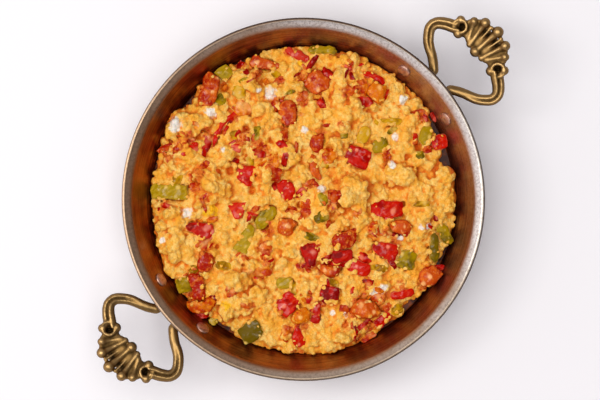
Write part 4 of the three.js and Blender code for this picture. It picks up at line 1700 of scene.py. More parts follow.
SCRAPS = tuple(Scrap(*row) for row in (
    (221, 100, 6.4, 5.6, 10, GREEN), (239, 91, 8, 7, 5, OLIVE), (243, 110, 9, 8, 20, ORANGE),
    (207, 146, 7, 4.4, 75, CRIMSON), (194, 147, 5.6, 4.6, 0, RED), (237, 148, 5.6, 4.4, 0, RED),
    (235, 160, 5, 2.8, -20, CRIMSON), (184, 154, 3, 2, 0, RED), (166, 148, 10, 4, 28, TOMATO),
    (195, 186, 6.8, 4.8, -10, TOMATO), (177, 180, 6.2, 5.4, 0, OLIVE), (218, 171, 3, 3, 0, TOMATO),
    (166, 206, 4, 3, 0, RED), (312, 63, 9, 2.6, 56, CRIMSON), (328, 75, 9, 5.5, -42, CRIMSON),
    (348, 67, 4, 3.6, 0, RED), (352, 77, 5, 3, -70, CRIMSON), (349, 92, 8, 4.6, -52, TOMATO),
    (364, 102, 8, 6, 5, RED), (362, 88, 7, 2.5, 90, TOMATO), (322, 104, 6.4, 4.2, -60, RED),
    (418, 113, 7.5, 5, 10, TOMATO), (420, 155, 5, 4.6, 0, GREEN), (387, 157, 5, 4, 30, TOMATO),
    (260, 154, 6, 3.6, 10, CRIMSON), (285, 160, 8.4, 4.2, 80, CRIMSON), (272, 173, 11, 8, -20, TOMATO),
    (330, 156, 9, 7.4, 90, ORANGE), (325, 165, 5, 4.5, 0, OLIVE), (301, 193, 7.6, 4, 32, RED),
    (334, 197, 7, 6.6, 0, TOMATO), (323, 200, 7, 4.6, -58, GREEN), (308, 212, 7.6, 3.6, -14, TOMATO),
    (321, 217, 7, 6, 20, GREEN), (311, 237, 9, 4.4, -26, GREEN), (421, 204, 9.6, 3.6, 0, OLIVE),
    (436, 218, 3, 4, 0, CRIMSON), (223, 266, 9.6, 5.4, -4, OLIVE), (194, 269, 5, 4.4, 0, OLIVE),
    (379, 268, 9.6, 3.6, -8, OLIVE), (397, 310, 6.4, 5.4, 80, OLIVE), (333, 283, 7.4, 3.8, -5, OLIVE),
    (294, 290, 8, 3, 88, OLIVE), (213, 322, 5, 4.4, 0, GREEN), (367, 281, 6, 2.6, 0, CRIMSON),
    (359, 328, 13, 2.6, 38, CRIMSON), (213, 298, 4.5, 3.4, 0, CRIMSON), (200, 315, 9, 4, -10, CRIMSON),
    (440, 268, 7, 3.4, 0, RED), (289, 92, 7, 2.3, 10, GREEN), (276, 74, 5, 3.4, 0, OLIVE),
    (344, 136, 4.5, 3.4, 0, GREEN), (257, 133, 7, 4, 80, GREEN), (205, 206, 9, 1.8, -75, TOMATO),
    (279, 80, 7, 4, 30, TOMATO), (303, 96, 7, 5, 60, TOMATO), (276, 106, 6, 4, -60, TOMATO),
    (262, 271, 9, 5, 0, ORANGE), (354, 232, 8, 4, 20, RED), (373, 225, 6, 3, 40, ORANGE),
    (240, 65, 6, 3, 60, CRIMSON), (247, 73, 5, 3, -60, CRIMSON), (243, 81, 5, 3, 20, GREEN),
    (204, 153, 6, 2.6, 85, CRIMSON), (250, 161, 4.6, 5, 0, OLIVE), (235, 135, 5.6, 5, 30, OLIVE),
    (229, 124, 9, 1.8, 58, CRIMSON), (284, 136, 5, 6.4, 0, TOMATO), (365, 87, 11, 3, 86, ORANGE),
    (386, 95, 7, 1.8, 70, RED), (424, 116, 8, 3.2, -42, CRIMSON), (434, 117, 5.4, 2.4, -60, CRIMSON),
    (428, 149, 6, 4, 10, TOMATO), (393, 130, 6.4, 3, 32, GREEN), (266, 250, 6, 5.4, 70, TOMATO),
    (253, 214, 6.4, 2, -8, RED), (205, 245, 7, 3, 80, TOMATO), (197, 324, 6.6, 3.2, -30, CRIMSON),
    (247, 272, 6.4, 3, 10, ORANGE), (306, 204, 6.4, 5, 0, ORANGE), (345, 229, 5.4, 4.2, 20, ORANGE),
    (286, 333, 8, 5.4, 80, ORANGE), (309, 300, 4.4, 3, 60, CRIMSON), (322, 305, 5.6, 4, 30, TOMATO),
    (345, 309, 5.4, 5, 0, TOMATO), (376, 297, 6, 4, 30, TOMATO), (388, 307, 6, 4, 40, TOMATO),
    (368, 338, 9, 4, 40, TOMATO), (393, 264, 7, 3.4, -58, CRIMSON), (389, 217, 6, 3.6, -20, RED),
    (352, 262, 11, 5.4, -22, RED), (364, 259, 8, 4.6, -44, RED), (338, 264, 10, 5, 4, RED),
    (328, 260, 7, 4.4, 24, CRIMSON), (282, 145, 6, 4, -50, RED), (296, 148, 7, 2.6, 80, TOMATO),
    (262, 165, 6, 3, 30, ORANGE), (275, 185, 5.6, 3.6, -60, CRIMSON), (398, 234, 8, 2.8, 4, CRIMSON),
    (328, 224, 6, 2.4, 60, TOMATO),
))


TORN_BITS = 230


def torn_bits(heap: "EggHeap", count: int) -> list[Scrap]:
    """Small torn bits of pulp and skin, strewn where tomato is mixed in.

    Args:
        heap: The eggs, which say where that is.
        count: How many bits are tried.

    Returns:
        The bits that lie on the eggs.
    """
    draw = np.random.default_rng(23)
    kinds = (TOMATO, ORANGE, RED, CRIMSON)
    bits = []
    for _ in range(count):
        spot = heap.pulp[draw.integers(len(heap.pulp))]
        sideways, up = spot.size / FOOD_PIXEL * draw.normal(0, 0.75, 2)
        kind = kinds[draw.choice(4, p=(0.44, 0.28, 0.12, 0.16))]
        length = draw.uniform(2.2, 6.4)
        slender = 0.3 if kind is CRIMSON else 0.5
        width = max(0.9, slender * length * draw.uniform(0.6, 1.2))
        place = photo_place(spot.px + sideways, spot.py + up, FOOD_HEIGHT)
        if np.hypot(*place) + length < heap.reach_at(place[0], place[1]):
            turn = draw.uniform(0, 180)
            bits.append(Scrap(spot.px + sideways, spot.py + up, length, width, turn, kind))
    return bits


@dataclass
class ScrapKind:
    """All the scraps of one kind, as one piece.

    Attributes:
        flesh: What they are cut from.
    """

    flesh: Flesh

    def chip(self, scrap: Scrap, bed: BVHTree, seed: int) -> Shape:
        """One scrap, a thin torn chip that sags onto the eggs.

        Args:
            scrap: The scrap.
            bed: The eggs' surface.
            seed: Makes it differ from the others.

        Returns:
            Its points and faces.
        """
        unit, faces = unit_ball(4 if scrap.length > 5.5 else 3)
        turn = math.radians(scrap.turn) - PHOTO_TURN
        along = np.array([math.cos(turn), math.sin(turn)])
        across = np.array([-along[1], along[0]])
        flat_unit = unit * [1, 1, 0]
        torn = 1 + 0.34 * soft_noise(flat_unit, 0.7, seed) + 0.16 * soft_noise(flat_unit, 0.3, seed)
        shape = np.sign(unit) * np.abs(unit) ** 0.75 * torn[:, None]
        flat = shape[:, :1] * along * scrap.length / 2 + shape[:, 1:2] * across * scrap.width / 2
        places = flat + photo_place(scrap.px, scrap.py, FOOD_HEIGHT)
        heights = np.array([ground(bed, *place)[2] for place in places])
        level = 0.55 * heights + 0.45 * heights.mean() + 0.1
        thick = 0.3 + 0.06 * scrap.width
        points = np.column_stack([places, level + shape[:, 2] * thick])
        points[:, 2] += 0.25 * soft_noise(points, 2.2, seed)
        return points, [faces]

    def build(self, bed: BVHTree, torn: Sequence[Scrap], finish: Finish) -> Piece:
        """Builds and dresses every scrap of this kind.

        Args:
            bed: The eggs' surface.
            torn: The small torn bits, besides the scraps that the photo shows one by one.
            finish: The scraps' finish.

        Returns:
            The object that holds them.
        """
        chips = [self.chip(scrap, bed, 9 * number) for number, scrap in enumerate((*SCRAPS, *torn))
                 if scrap.flesh is self.flesh]
        piece = mesh_object(f"scraps_{self.flesh.value}", *joined(chips))
        level = np.clip((normals_of(piece.data)[:, 2] - 0.2) / 0.5, 0, 1)
        patches = soft_noise(points_of(piece.data), 3.5, 40)
        set_marks(
            piece.data, cut=0.8 * (1 - level), tone=np.zeros(len(level)),
            sheen=np.clip(1.6 * patches - 0.4, 0, 0.7), shade=np.clip(-1.2 * patches, 0, 0.8),
        )
        return dress(piece, finish, self.flesh.value, "eggs")


def ground(bed: BVHTree, x: float, y: float) -> Vector:
    """The highest point of a surface over a place, in millimetres."""
    hit = bed.ray_cast(Vector((x, y, SKY_HEIGHT)), DOWN)[0]
    return hit if hit is not None else Vector((x, y, 30.0))


@dataclass
class EggHeap:
    """The scrambled eggs: a core, clumps, curds and crumbs, fused into one torn, grainy skin.

    Attributes:
        pan: The pan that holds them.
        reach: How far the food reaches from the pan's middle, by degrees in the picture.
        clumps: The large clumps.
        whites: The bits of egg white.
        yolks: The bits of plain yolk.
        pulp: Where tomato pulp is mixed in.
        holes: The dark gaps.
        corners: Where curd covers a corner of a topping.
        film_height: The height of the juice round the eggs.
        edge_height: The height of the eggs' edge.
        packed_edge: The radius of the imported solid's edge.
        widest: The radius within which curds are tried.
        floor_height: The height of the skin's flat underside.
        hidden_below: Faces that lie wholly under this height are left off.
        core_steps: How many rings the core has, and how many points each.
        sink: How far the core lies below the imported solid's top.
        lap: How far curd may lap over a topping.
        curd_count: How many places are tried for curds.
        crumb_count: How many places are tried for crumbs.
        voxel: The fineness of the skin.
    """

    pan: Pan
    reach: tuple[tuple[float, float], ...] = (
        (0, 85), (10, 84), (17, 79), (22, 85.5), (28, 83), (36, 86), (43, 87.5), (50, 86), (60, 89),
        (70, 87), (78, 85), (84, 87.5), (95, 88.5), (104, 87), (109, 84.5), (115, 85.5), (125, 87.5),
        (135, 86.5), (139, 82), (148, 90), (157, 87), (168, 84.5), (176, 86.5), (187, 85), (197, 87),
        (207, 86.5), (215, 86), (225, 88.5), (232, 85), (240, 83.5), (247, 89), (255, 86.5), (262, 87.5),
        (275, 91), (287, 90.5), (293, 88), (299, 87.5), (304, 83.5), (308, 86.5), (314, 82.5), (326, 86.5),
        (332, 84), (337, 83.5), (344, 85.5), (350, 86.5),
    )
    clumps: tuple[Spot, ...] = spots(
        (182, 125, 9), (204, 118, 7), (400, 100, 9), (385, 108, 6.5), (444, 185, 8.5), (449, 199, 8),
        (440, 214, 7), (226, 318, 9), (232, 305, 7), (330, 345, 9), (345, 338, 8), (312, 352, 7),
        (170, 225, 9), (163, 240, 7.5), (178, 250, 9), (192, 238, 7), (256, 100, 9), (268, 122, 8),
        (303, 130, 8), (300, 175, 7), (303, 155, 7.5), (220, 190, 8), (225, 225, 7.5), (262, 250, 8),
        (238, 285, 8), (255, 300, 7), (270, 325, 8), (350, 190, 9), (362, 205, 8), (345, 120, 7),
        (356, 112, 7), (400, 175, 8.5), (415, 190, 7.5), (410, 140, 7), (338, 60, 7), (352, 58, 6.5),
        (286, 66, 7), (250, 78, 6), (184, 172, 8), (214, 165, 7), (412, 280, 7.5), (348, 300, 6.5),
        (270, 285, 7), (416, 222, 7), (366, 222, 6.5), (326, 110, 6.5), (236, 124, 7.5), (350, 325, 6.5),
        (202, 205, 6), (395, 78, 7),
    )
    whites: tuple[Spot, ...] = spots(
        (176, 125, 3.8), (211, 112, 3.2), (271, 93, 3.4), (259, 91, 1.6), (305, 129, 2.2), (187, 212, 3.4),
        (321, 189, 2.2), (421, 227, 1.8), (429, 226, 1.8), (392, 165, 2.2), (375, 293, 2.4),
        (383, 288, 2.8), (345, 315, 1.8), (333, 313, 1.6), (162, 240, 1.8), (403, 100, 2.6), (396, 137, 2),
        (223, 150, 1.6), (400, 237, 1.8),
    )
    yolks: tuple[Spot, ...] = spots((213, 210, 3.6), (226, 306, 3), (205, 214, 2), (300, 62, 2))
    pulp: tuple[Spot, ...] = spots(
        (205, 92, 5), (222, 86, 2.5), (240, 62, 3.5), (256, 76, 3), (290, 50, 3.5), (302, 76, 3.2),
        (302, 100, 4), (289, 112, 4.2), (284, 127, 3.2), (276, 100, 2.6), (312, 86, 3.6), (347, 90, 4),
        (350, 70, 3), (366, 92, 5.5), (320, 101, 2.8), (241, 104, 3), (233, 118, 3), (222, 130, 2.6),
        (206, 133, 3.4), (190, 137, 3.4), (178, 145, 4), (168, 157, 3), (240, 143, 3.2), (256, 143, 3.8),
        (265, 152, 3.4), (274, 165, 3.6), (246, 130, 2.6), (321, 130, 3.2), (341, 124, 2.2),
        (387, 155, 2.8), (418, 144, 2.6), (424, 116, 4), (452, 170, 2.6), (200, 174, 3.8), (196, 188, 3.6),
        (205, 198, 3), (166, 206, 2.8), (198, 226, 4.2), (213, 219, 2.6), (206, 242, 3), (205, 254, 4.2),
        (194, 275, 4), (191, 292, 4), (197, 308, 4.6), (212, 300, 3), (252, 214, 3), (268, 229, 3.8),
        (286, 224, 3.6), (291, 209, 2.8), (305, 213, 2.8), (331, 206, 3), (311, 185, 2.6), (356, 214, 2.4),
        (262, 247, 3.6), (266, 262, 3), (262, 275, 3), (302, 266, 2.8), (322, 270, 3.6), (345, 235, 4.6),
        (371, 231, 3), (386, 232, 3), (396, 240, 3.2), (428, 226, 2.2), (366, 280, 2.8), (400, 287, 3.4),
        (360, 300, 4.6), (350, 312, 3.6), (376, 310, 4.6), (386, 297, 3.4), (333, 281, 2.8),
        (309, 300, 2.8), (316, 316, 3), (304, 327, 2.6), (284, 313, 2.8), (289, 331, 3.4), (346, 326, 2.6),
        (356, 337, 3), (371, 327, 3.2), (430, 268, 4.2), (424, 283, 4.2), (250, 306, 2.8), (232, 293, 2.4),
        (300, 354, 2.6), (244, 256, 2.4), (314, 245, 2.6),
    )
    holes: tuple[Spot, ...] = spots(
        (225, 87, 2.6), (252, 190, 2.4), (198, 181, 2.4), (257, 219, 2.2), (193, 226, 2.4), (230, 171, 2.4),
        (247, 158, 2), (330, 148, 2.2), (418, 148, 2.2), (215, 246, 2.2), (300, 205, 1.8), (340, 268, 1.6),
        (246, 128, 2), (272, 140, 2.2), (395, 128, 1.8),
    )
    corners: tuple[Spot, ...] = spots(
        (373, 202, 1.9), (377, 200, 1.2), (374, 216, 1.9), (378, 218, 1.2), (404, 218, 1.2),
        (350, 166, 1.7), (355, 169, 1.3), (371, 151, 1.2), (241, 167, 1.1), (236, 183, 1.3),
        (232, 205, 1.1), (246, 205, 1), (187, 222, 1), (195, 235, 1.2), (304, 264, 1.4), (317, 264, 1.3),
        (335, 249, 1.1), (352, 272, 1.3), (276, 305, 1.3), (281, 312, 1.3), (253, 320, 1.6),
        (262, 328, 1.4), (247, 316, 1.4), (398, 246, 1.1), (381, 259, 1.2), (306, 92, 1.4), (330, 74, 1.3),
        (281, 117, 1.3), (295, 101, 1.1), (221, 88, 1.1), (203, 104, 1.3), (352, 301, 1.3), (378, 317, 1.2),
        (338, 245, 1.3), (357, 232, 1),
    )
    film_height: float = 25.5
    edge_height: float = 30.0
    packed_edge: float = 86.5
    widest: float = 92.0
    floor_height: float = 22.0
    hidden_below: float = 22.6
    core_steps: tuple[int, int] = (56, 220)
    sink: float = 1.3
    lap: float = 1.7
    curd_count: int = 2200
    crumb_count: int = 26000
    voxel: float = 0.54

    def reach_at(self, x: Array, y: Array) -> Array:
        """How far the food reaches from the middle in the direction of each place.

        Args:
            x: The places in millimetres.
            y: And their other part.

        Returns:
            One distance for each.
        """
        picture = np.degrees(np.arctan2(y, x)) + math.degrees(PHOTO_TURN)
        angles, reaches = np.array(self.reach).T
        return np.interp(picture % 360, angles, reaches, period=360)

    @staticmethod
    def placed(marked: Sequence[Spot]) -> tuple[Array, Array]:
        """The places and sizes of some spots."""
        places = [photo_place(spot.px, spot.py, FOOD_HEIGHT) for spot in marked]
        return np.array(places), np.array([spot.size for spot in marked])

    def core(self, packed: BVHTree, toppings: BVHTree) -> Shape:
        """The body of eggs under the curds, out to its uneven edge.

        Args:
            packed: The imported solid's surface, which gives the core its height.
            toppings: The toppings' surface, which the core comes up to.

        Returns:
            Its points and faces.
        """
        rows, segments = self.core_steps
        angles = np.arange(segments) * 2 * math.pi / segments
        directions = np.column_stack([np.cos(angles), np.sin(angles)])
        reach = self.reach_at(directions[:, 0], directions[:, 1])
        rings = []
        for share in np.linspace(0.02, 0.965, rows):
            places = directions * (reach * share)[:, None]
            edge = np.minimum(self.packed_edge - 0.6, reach * share * self.packed_edge / reach)
            scale = edge / (reach * share)
            heights = [ground(packed, *(place * part))[2] for place, part in zip(places, scale)]
            beside = [toppings.find_nearest(Vector((*place, z)))[3]
                      for place, z in zip(places, heights)]
            sink = self.sink * np.clip((np.array(beside) - 1.5) / 3, 0.1, 1)
            rings.append(np.column_stack([places, np.array(heights) - sink]))
        brims = (0.985, self.edge_height - 1.5), (0.99, self.film_height + 1), (0.97, self.floor_height)
        for share, height in brims:
            radius = np.minimum(reach * share, self.pan.wall_radius(height) - 0.5)
            rings.append(np.column_stack([directions * radius[:, None], np.full(segments, height)]))
        centre = ground(packed, 0.0, 0.0)[2] - self.sink
        points = np.concatenate([*rings, [[0, 0, centre], [0, 0, self.floor_height]]])
        inward = (part[:, ::-1] for part in wrapped(len(rings), segments))
        return points, [np.roll(part, 1 if part.shape[1] == 4 else -1, axis=1) for part in inward]

    def scattered(self, draw: np.random.Generator, count: int, sizes: tuple[float, float], apart: float,
                  share_inside: float) -> tuple[Array, Array]:
        """Places over the food, the largest first and none too near another.

        Args:
            draw: The seeded source of the places.
            count: How many places are tried.
            sizes: The smallest and largest size.
            apart: The room that each keeps, as a share of the two sizes.
            share_inside: How far out they may lie, as a share of the food's reach.

        Returns:
            The places and sizes.
        """
        radius = self.widest * np.sqrt(draw.random(count))
        angle = draw.random(count) * 2 * math.pi
        places = np.column_stack([radius * np.cos(angle), radius * np.sin(angle)])
        size = sizes[0] + (sizes[1] - sizes[0]) * draw.random(count) ** 1.6
        inside = radius + 0.75 * size < share_inside * self.reach_at(places[:, 0], places[:, 1])
        places, size = places[inside], size[inside]
        order = np.argsort(-size)
        places, size = places[order], size[order]
        kept: list[int] = []
        cells: dict[tuple[int, int], list[int]] = {}
        step = 2 * sizes[1] * apart
        for number, (place, own) in enumerate(zip(places, size)):
            cell = (int(place[0] // step), int(place[1] // step))
            near = [other for dx in (-1, 0, 1) for dy in (-1, 0, 1)
                    for other in cells.get((cell[0] + dx, cell[1] + dy), ())]
            if all(math.dist(place, places[other]) > apart * (own + size[other]) for other in near):
                kept.append(number)
                cells.setdefault(cell, []).append(number)
        return places[kept], size[kept]

    def laid(self, places: Array, sizes: Array, bed: BVHTree, toppings: BVHTree,
             level: float) -> tuple[Array, Array]:
        """The centres of balls half sunk in a surface, where large ones stay below the toppings.

        Args:
            places: Where they lie, in plan.
            sizes: Their radii.
            bed: The surface.
            toppings: The toppings' surface.
            level: How far a centre is above the surface, as a share of the radius.

        Returns:
            The centres and radii of those that have room.
        """
        centres, radii = [], []
        for (x, y), size in zip(places, sizes):
            rise = level
            above = Vector((x, y, SKY_HEIGHT))
            spot, normal, _, _ = bed.ray_cast(above, DOWN)
            over, slope, _, _ = toppings.ray_cast(above, DOWN)
            if spot is None:
                continue
            if over is not None and over.z > spot.z:
                if size > 1.6 or not (slope.z < 0.8 or self.laps(toppings, x, y)):
                    continue
                spot, normal, rise = over, slope, -0.4
            centre = spot + normal * (rise * size)
            edge, _, _, apart = toppings.find_nearest(centre)
            if size > 1.6 and apart < 1.3 * size:
                centre.z = min(centre.z, edge.z + 1.1 - size)
                if centre.z < spot.z - 1.1 * size:
                    continue
            wall = self.pan.wall_radius(centre.z) - 0.8 * size - 0.3
            flat = math.hypot(centre.x, centre.y)
            if flat > wall:
                centre.x, centre.y = centre.x * wall / flat, centre.y * wall / flat
            centres.append(centre[:])
            radii.append(size)
        return np.array(centres), np.array(radii)

    def laps(self, toppings: BVHTree, x: float, y: float) -> bool:
        """Whether curd laps over the edge of a topping here: only near its edge, and only in places.

        Args:
            toppings: The toppings' surface.
            x: The place in millimetres.
            y: And its other part.

        Returns:
            Whether it does.
        """
        if soft_noise(np.array([[x, y, 0.0]]), 4.5, 77)[0] < 0.12:
            return False
        beside = ((self.lap, 0.0), (-self.lap, 0.0), (0.0, self.lap), (0.0, -self.lap))
        return any(toppings.ray_cast(Vector((x + dx, y + dy, SKY_HEIGHT)), DOWN)[0] is None
                   for dx, dy in beside)

    def build(self, packed: Piece, toppings: BVHTree, finish: Finish,
              ) -> list[Piece]:
        """Builds and dresses the eggs.

        Args:
            packed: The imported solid.
            toppings: The surface of the large pieces that lie on them.
            finish: The eggs' finish.

        Returns:
            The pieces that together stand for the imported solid.
        """
        draw = np.random.default_rng(11)
        body = self.core(tree_of(packed.data), toppings)
        bodies = [body]
        bed = tree_over(body)
        places, sizes = self.placed(self.clumps)
        centres, radii = self.laid(places, sizes, bed, toppings, -0.5)
        bodies.append(many_balls(centres, radii, draw, 3, 0.16))
        places, sizes = self.placed(self.corners)
        lifted = [ground(toppings, *place) - Vector((0, 0, 0.35 * size))
                  for place, size in zip(places, sizes)]
        bodies.append(many_balls(np.array(lifted), sizes, draw, 3, 0.3))
        layers = (
            (self.curd_count, (2.0, 4.6), 0.6, 0.0), (self.crumb_count, (0.8, 1.7), 0.66, -0.15),
        )
        for count, between, apart, rise in layers:
            bed = tree_over(joined(bodies))
            places, sizes = self.scattered(draw, count, between, apart, 1.0)
            centres, radii = self.laid(places, sizes, bed, toppings, rise)
            LOG.info("eggs: %d balls of %.1f to %.1f mm", len(centres), *between)
            bodies.append(many_balls(centres, radii, draw, 2 if between[1] < 3 else 3, 0.36))
        heap = mesh_object("eggs_heap", *joined(bodies))
        fused(heap, self.voxel, 2)
        self.tear(heap)
        return self.split(heap, finish)

    def tear(self, heap: Piece) -> None:
        """Gives the fused skin its torn, grainy relief and its colour marks.

        Args:
            heap: The fused skin.
        """
        points, normals = points_of(heap.data), normals_of(heap.data)
        relief = 0.4 * soft_noise(points, 3.4, 21) + 0.3 * np.abs(soft_noise(points, 1.9, 22)) - 0.12
        relief += 0.15 * soft_noise(points, 0.95, 23)
        points += normals * relief[:, None]
        flat = np.hypot(points[:, 0], points[:, 1])
        wall = self.pan.wall_radius(points[:, 2]) - 0.15
        over = np.maximum(flat / wall, 1.0)
        points[:, :2] /= over[:, None]
        holes = nearness(points, self.holes, 4.0) * np.clip(1 + soft_noise(points, 2.5, 24), 0, 1)
        points[:, 2] -= np.where(points[:, 2] > 27, 4.2 * holes, 0)
        move_points(heap.data, points)
        jitter = 0.6 * soft_noise(points, 2.4, 31) + 0.5 * soft_noise(points, 1.2, 32)
        set_marks(heap.data, cavity=self.sunk_share(points))
        for name, marked in (("white", self.whites), ("yolk", self.yolks), ("stain", self.pulp)):
            near = nearness(points, marked)
            set_marks(heap.data, **{name: near + jitter * np.minimum(2 * near, 0.7)})

    def sunk_share(self, points: Array) -> Array:
        """How deep each point lies below its surroundings: 0.5 is level, 1 is a deep gap.

        Args:
            points: The points in millimetres.

        Returns:
            One value for each point.
        """
        cell, half = 0.5, 200
        column = np.clip((points[:, :2] / cell + half).astype(int), 0, 2 * half - 1)
        grid = np.full((2 * half, 2 * half), -1.0)
        np.maximum.at(grid, (column[:, 0], column[:, 1]), points[:, 2])
        known = (grid > 0).astype(float)
        grid = np.maximum(grid, 0)

        def spread(values: Array, width: int) -> Array:
            """The sum over a square of cells around each.

            Args:
                values: The cells' values.
                width: How many cells it reaches to each side.

            Returns:
                The sums.
            """
            total = np.cumsum(np.cumsum(np.pad(values, ((width + 1, width), (width + 1, width))), 0), 1)
            size = 2 * width + 1
            right, left = total[:, size:], total[:, :-size]
            return right[size:] - right[:-size] - left[size:] + left[:-size]

        share = np.zeros(len(points))
        for width, depth, weight in ((2, 0.8, 0.45), (7, 2.6, 0.55)):
            filled = np.maximum(spread(spread(known, width), width), 1e-6)
            mean = spread(spread(grid, width), width) / filled
            around = mean[column[:, 0], column[:, 1]]
            share += weight * np.clip(0.5 + 0.5 * (around - points[:, 2]) / depth, 0, 1)
        return share

    def split(self, heap: Piece, finish: Finish) -> list[Piece]:
        """Cuts the skin into sectors that stay light, without its flat underside.

        Args:
            heap: The whole skin, which is removed.
            finish: The eggs' finish.

        Returns:
            The sectors.
        """
        mesh = heap.data
        points, triangles = points_of(mesh), triangles_of(mesh)
        names = ("cavity", "white", "yolk", "stain")
        marks = {name: np.zeros(len(points), np.float32) for name in names}
        for name, values in marks.items():
            mesh.attributes[name].data.foreach_get("value", values)
        middles = points[triangles].mean(axis=1)
        low = points[triangles][:, :, 2].max(axis=1) < self.hidden_below
        hidden = low | (normals_of(mesh)[triangles][:, :, 2].max(axis=1) < -0.3)
        LOG.info("eggs: %d triangles, %d of them hidden", len(triangles), hidden.sum())
        sector = ((np.arctan2(middles[:, 1], middles[:, 0]) / (2 * math.pi) + 0.5) * 3).astype(int) % 3
        pieces = []
        for number in range(3):
            own = triangles[(sector == number) & ~hidden]
            used, renumbered = np.unique(own, return_inverse=True)
            piece = mesh_object(f"eggs_part_{number + 1}", points[used], [renumbered.reshape(-1, 3)])
            set_marks(piece.data, **{name: values[used] for name, values in marks.items()})
            pieces.append(dress(piece, finish, "egg", "eggs"))
        bpy.data.objects.remove(heap)
        return pieces


@dataclass
class EggBase:
    """The plain body of eggs that fills the pan below the curds.

    Attributes:
        pan: The pan that it fills.
        top: The height of its flat top.
    """

    pan: Pan
    top: float = 22.8

    def build(self, finish: Finish) -> Piece:
        """Builds and dresses the base.

        Args:
            finish: The eggs' finish.

        Returns:
            The base's object.
        """
        side = self.pan.inner_line(-0.4)
        side = side[side[:, 1] < self.top - 0.2]
        brim = np.array([[self.pan.wall_radius(self.top) - 0.6, self.top], [0, self.top]])
        points, faces = turned(np.concatenate([side, brim]), 96)
        return dress(mesh_object("eggs_base", points, faces), finish, "egg", "eggs")


@dataclass
class Juice:
    """The film of browned butter and juice in the gaps by the wall, which also stands in as painted shade
    there.

    Attributes:
        pan: The pan that it lies in.
        height: The height of its level part.
    """

    pan: Pan
    height: float = 26.4

    def build(self, finish: Finish) -> Piece:
        """Builds and dresses the film.

        Args:
            finish: The film's finish.

        Returns:
            The film's object.
        """
        rim = self.pan.wall_radius(self.height)
        outline = np.array([
            [0, self.height - 1.2], [rim - 1.5, self.height - 1.2], [rim - 0.75, self.height - 0.6],
            [self.pan.wall_radius(self.height + 0.35) - 0.05, self.height + 0.35],
            [rim - 0.6, self.height + 0.05], [rim - 3, self.height - 0.1], [0, self.height - 0.1],
        ])
        points, faces = turned(outline, 220)
        points[:, 2] += 0.12 * soft_noise(points, 9.0, 2)
        return dress(mesh_object("pan_juice_film", points, faces), finish, "egg", "eggs")


@dataclass
class LooseCrumbs:
    """Loose crumbs of egg that cling to the toppings.

    Attributes:
        count: How many there are.
        sizes: The smallest and largest radius.
        widest: How far from the pan's middle they may lie.
    """

    count: int = 24
    sizes: tuple[float, float] = (0.35, 0.8)
    widest: float = 85.0

    def build(self, toppings: BVHTree, finish: Finish) -> Piece:
        """Builds and dresses the crumbs.

        Args:
            toppings: The surface of the large pieces.
            finish: The eggs' finish.

        Returns:
            The object that holds them.
        """
        draw = np.random.default_rng(5)
        centres, radii = [], []
        while len(centres) < self.count:
            reach, turn = self.widest * math.sqrt(draw.random()), draw.random() * 2 * math.pi
            above = Vector((reach * math.cos(turn), reach * math.sin(turn), SKY_HEIGHT))
            spot, normal, _, _ = toppings.ray_cast(above, DOWN)
            edge = spot is not None and normal.z < 0.93
            if spot is None or (not edge and draw.random() > 0.16):
                continue
            size = self.sizes[0] + (self.sizes[1] - self.sizes[0]) * draw.random() ** 2
            centres.append((spot + normal * 0.25 * size)[:])
            radii.append(size)
        piece = mesh_object("egg_crumbs", *many_balls(np.array(centres), np.array(radii), draw, 3, 0.3))
        points = points_of(piece.data)
        grain = 0.2 * soft_noise(points, 0.9, 3)
        move_points(piece.data, points + normals_of(piece.data) * grain[:, None])
        set_marks(piece.data, cavity=np.full(len(points), 0.4))
        return dress(piece, finish, "egg", "eggs")


# ---- the studio


@dataclass(frozen=True)
class Lamp:
    """A square soft light.

    Attributes:
        name: Its name.
        place: Its place in the picture's axes: right, up and towards the camera, in millimetres.
        size: Its side.
        watts: Its strength.
        tint: Its colour.
    """

    name: str
    place: tuple[float, float, float]
    size: float
    watts: float
    tint: tuple[float, float, float]


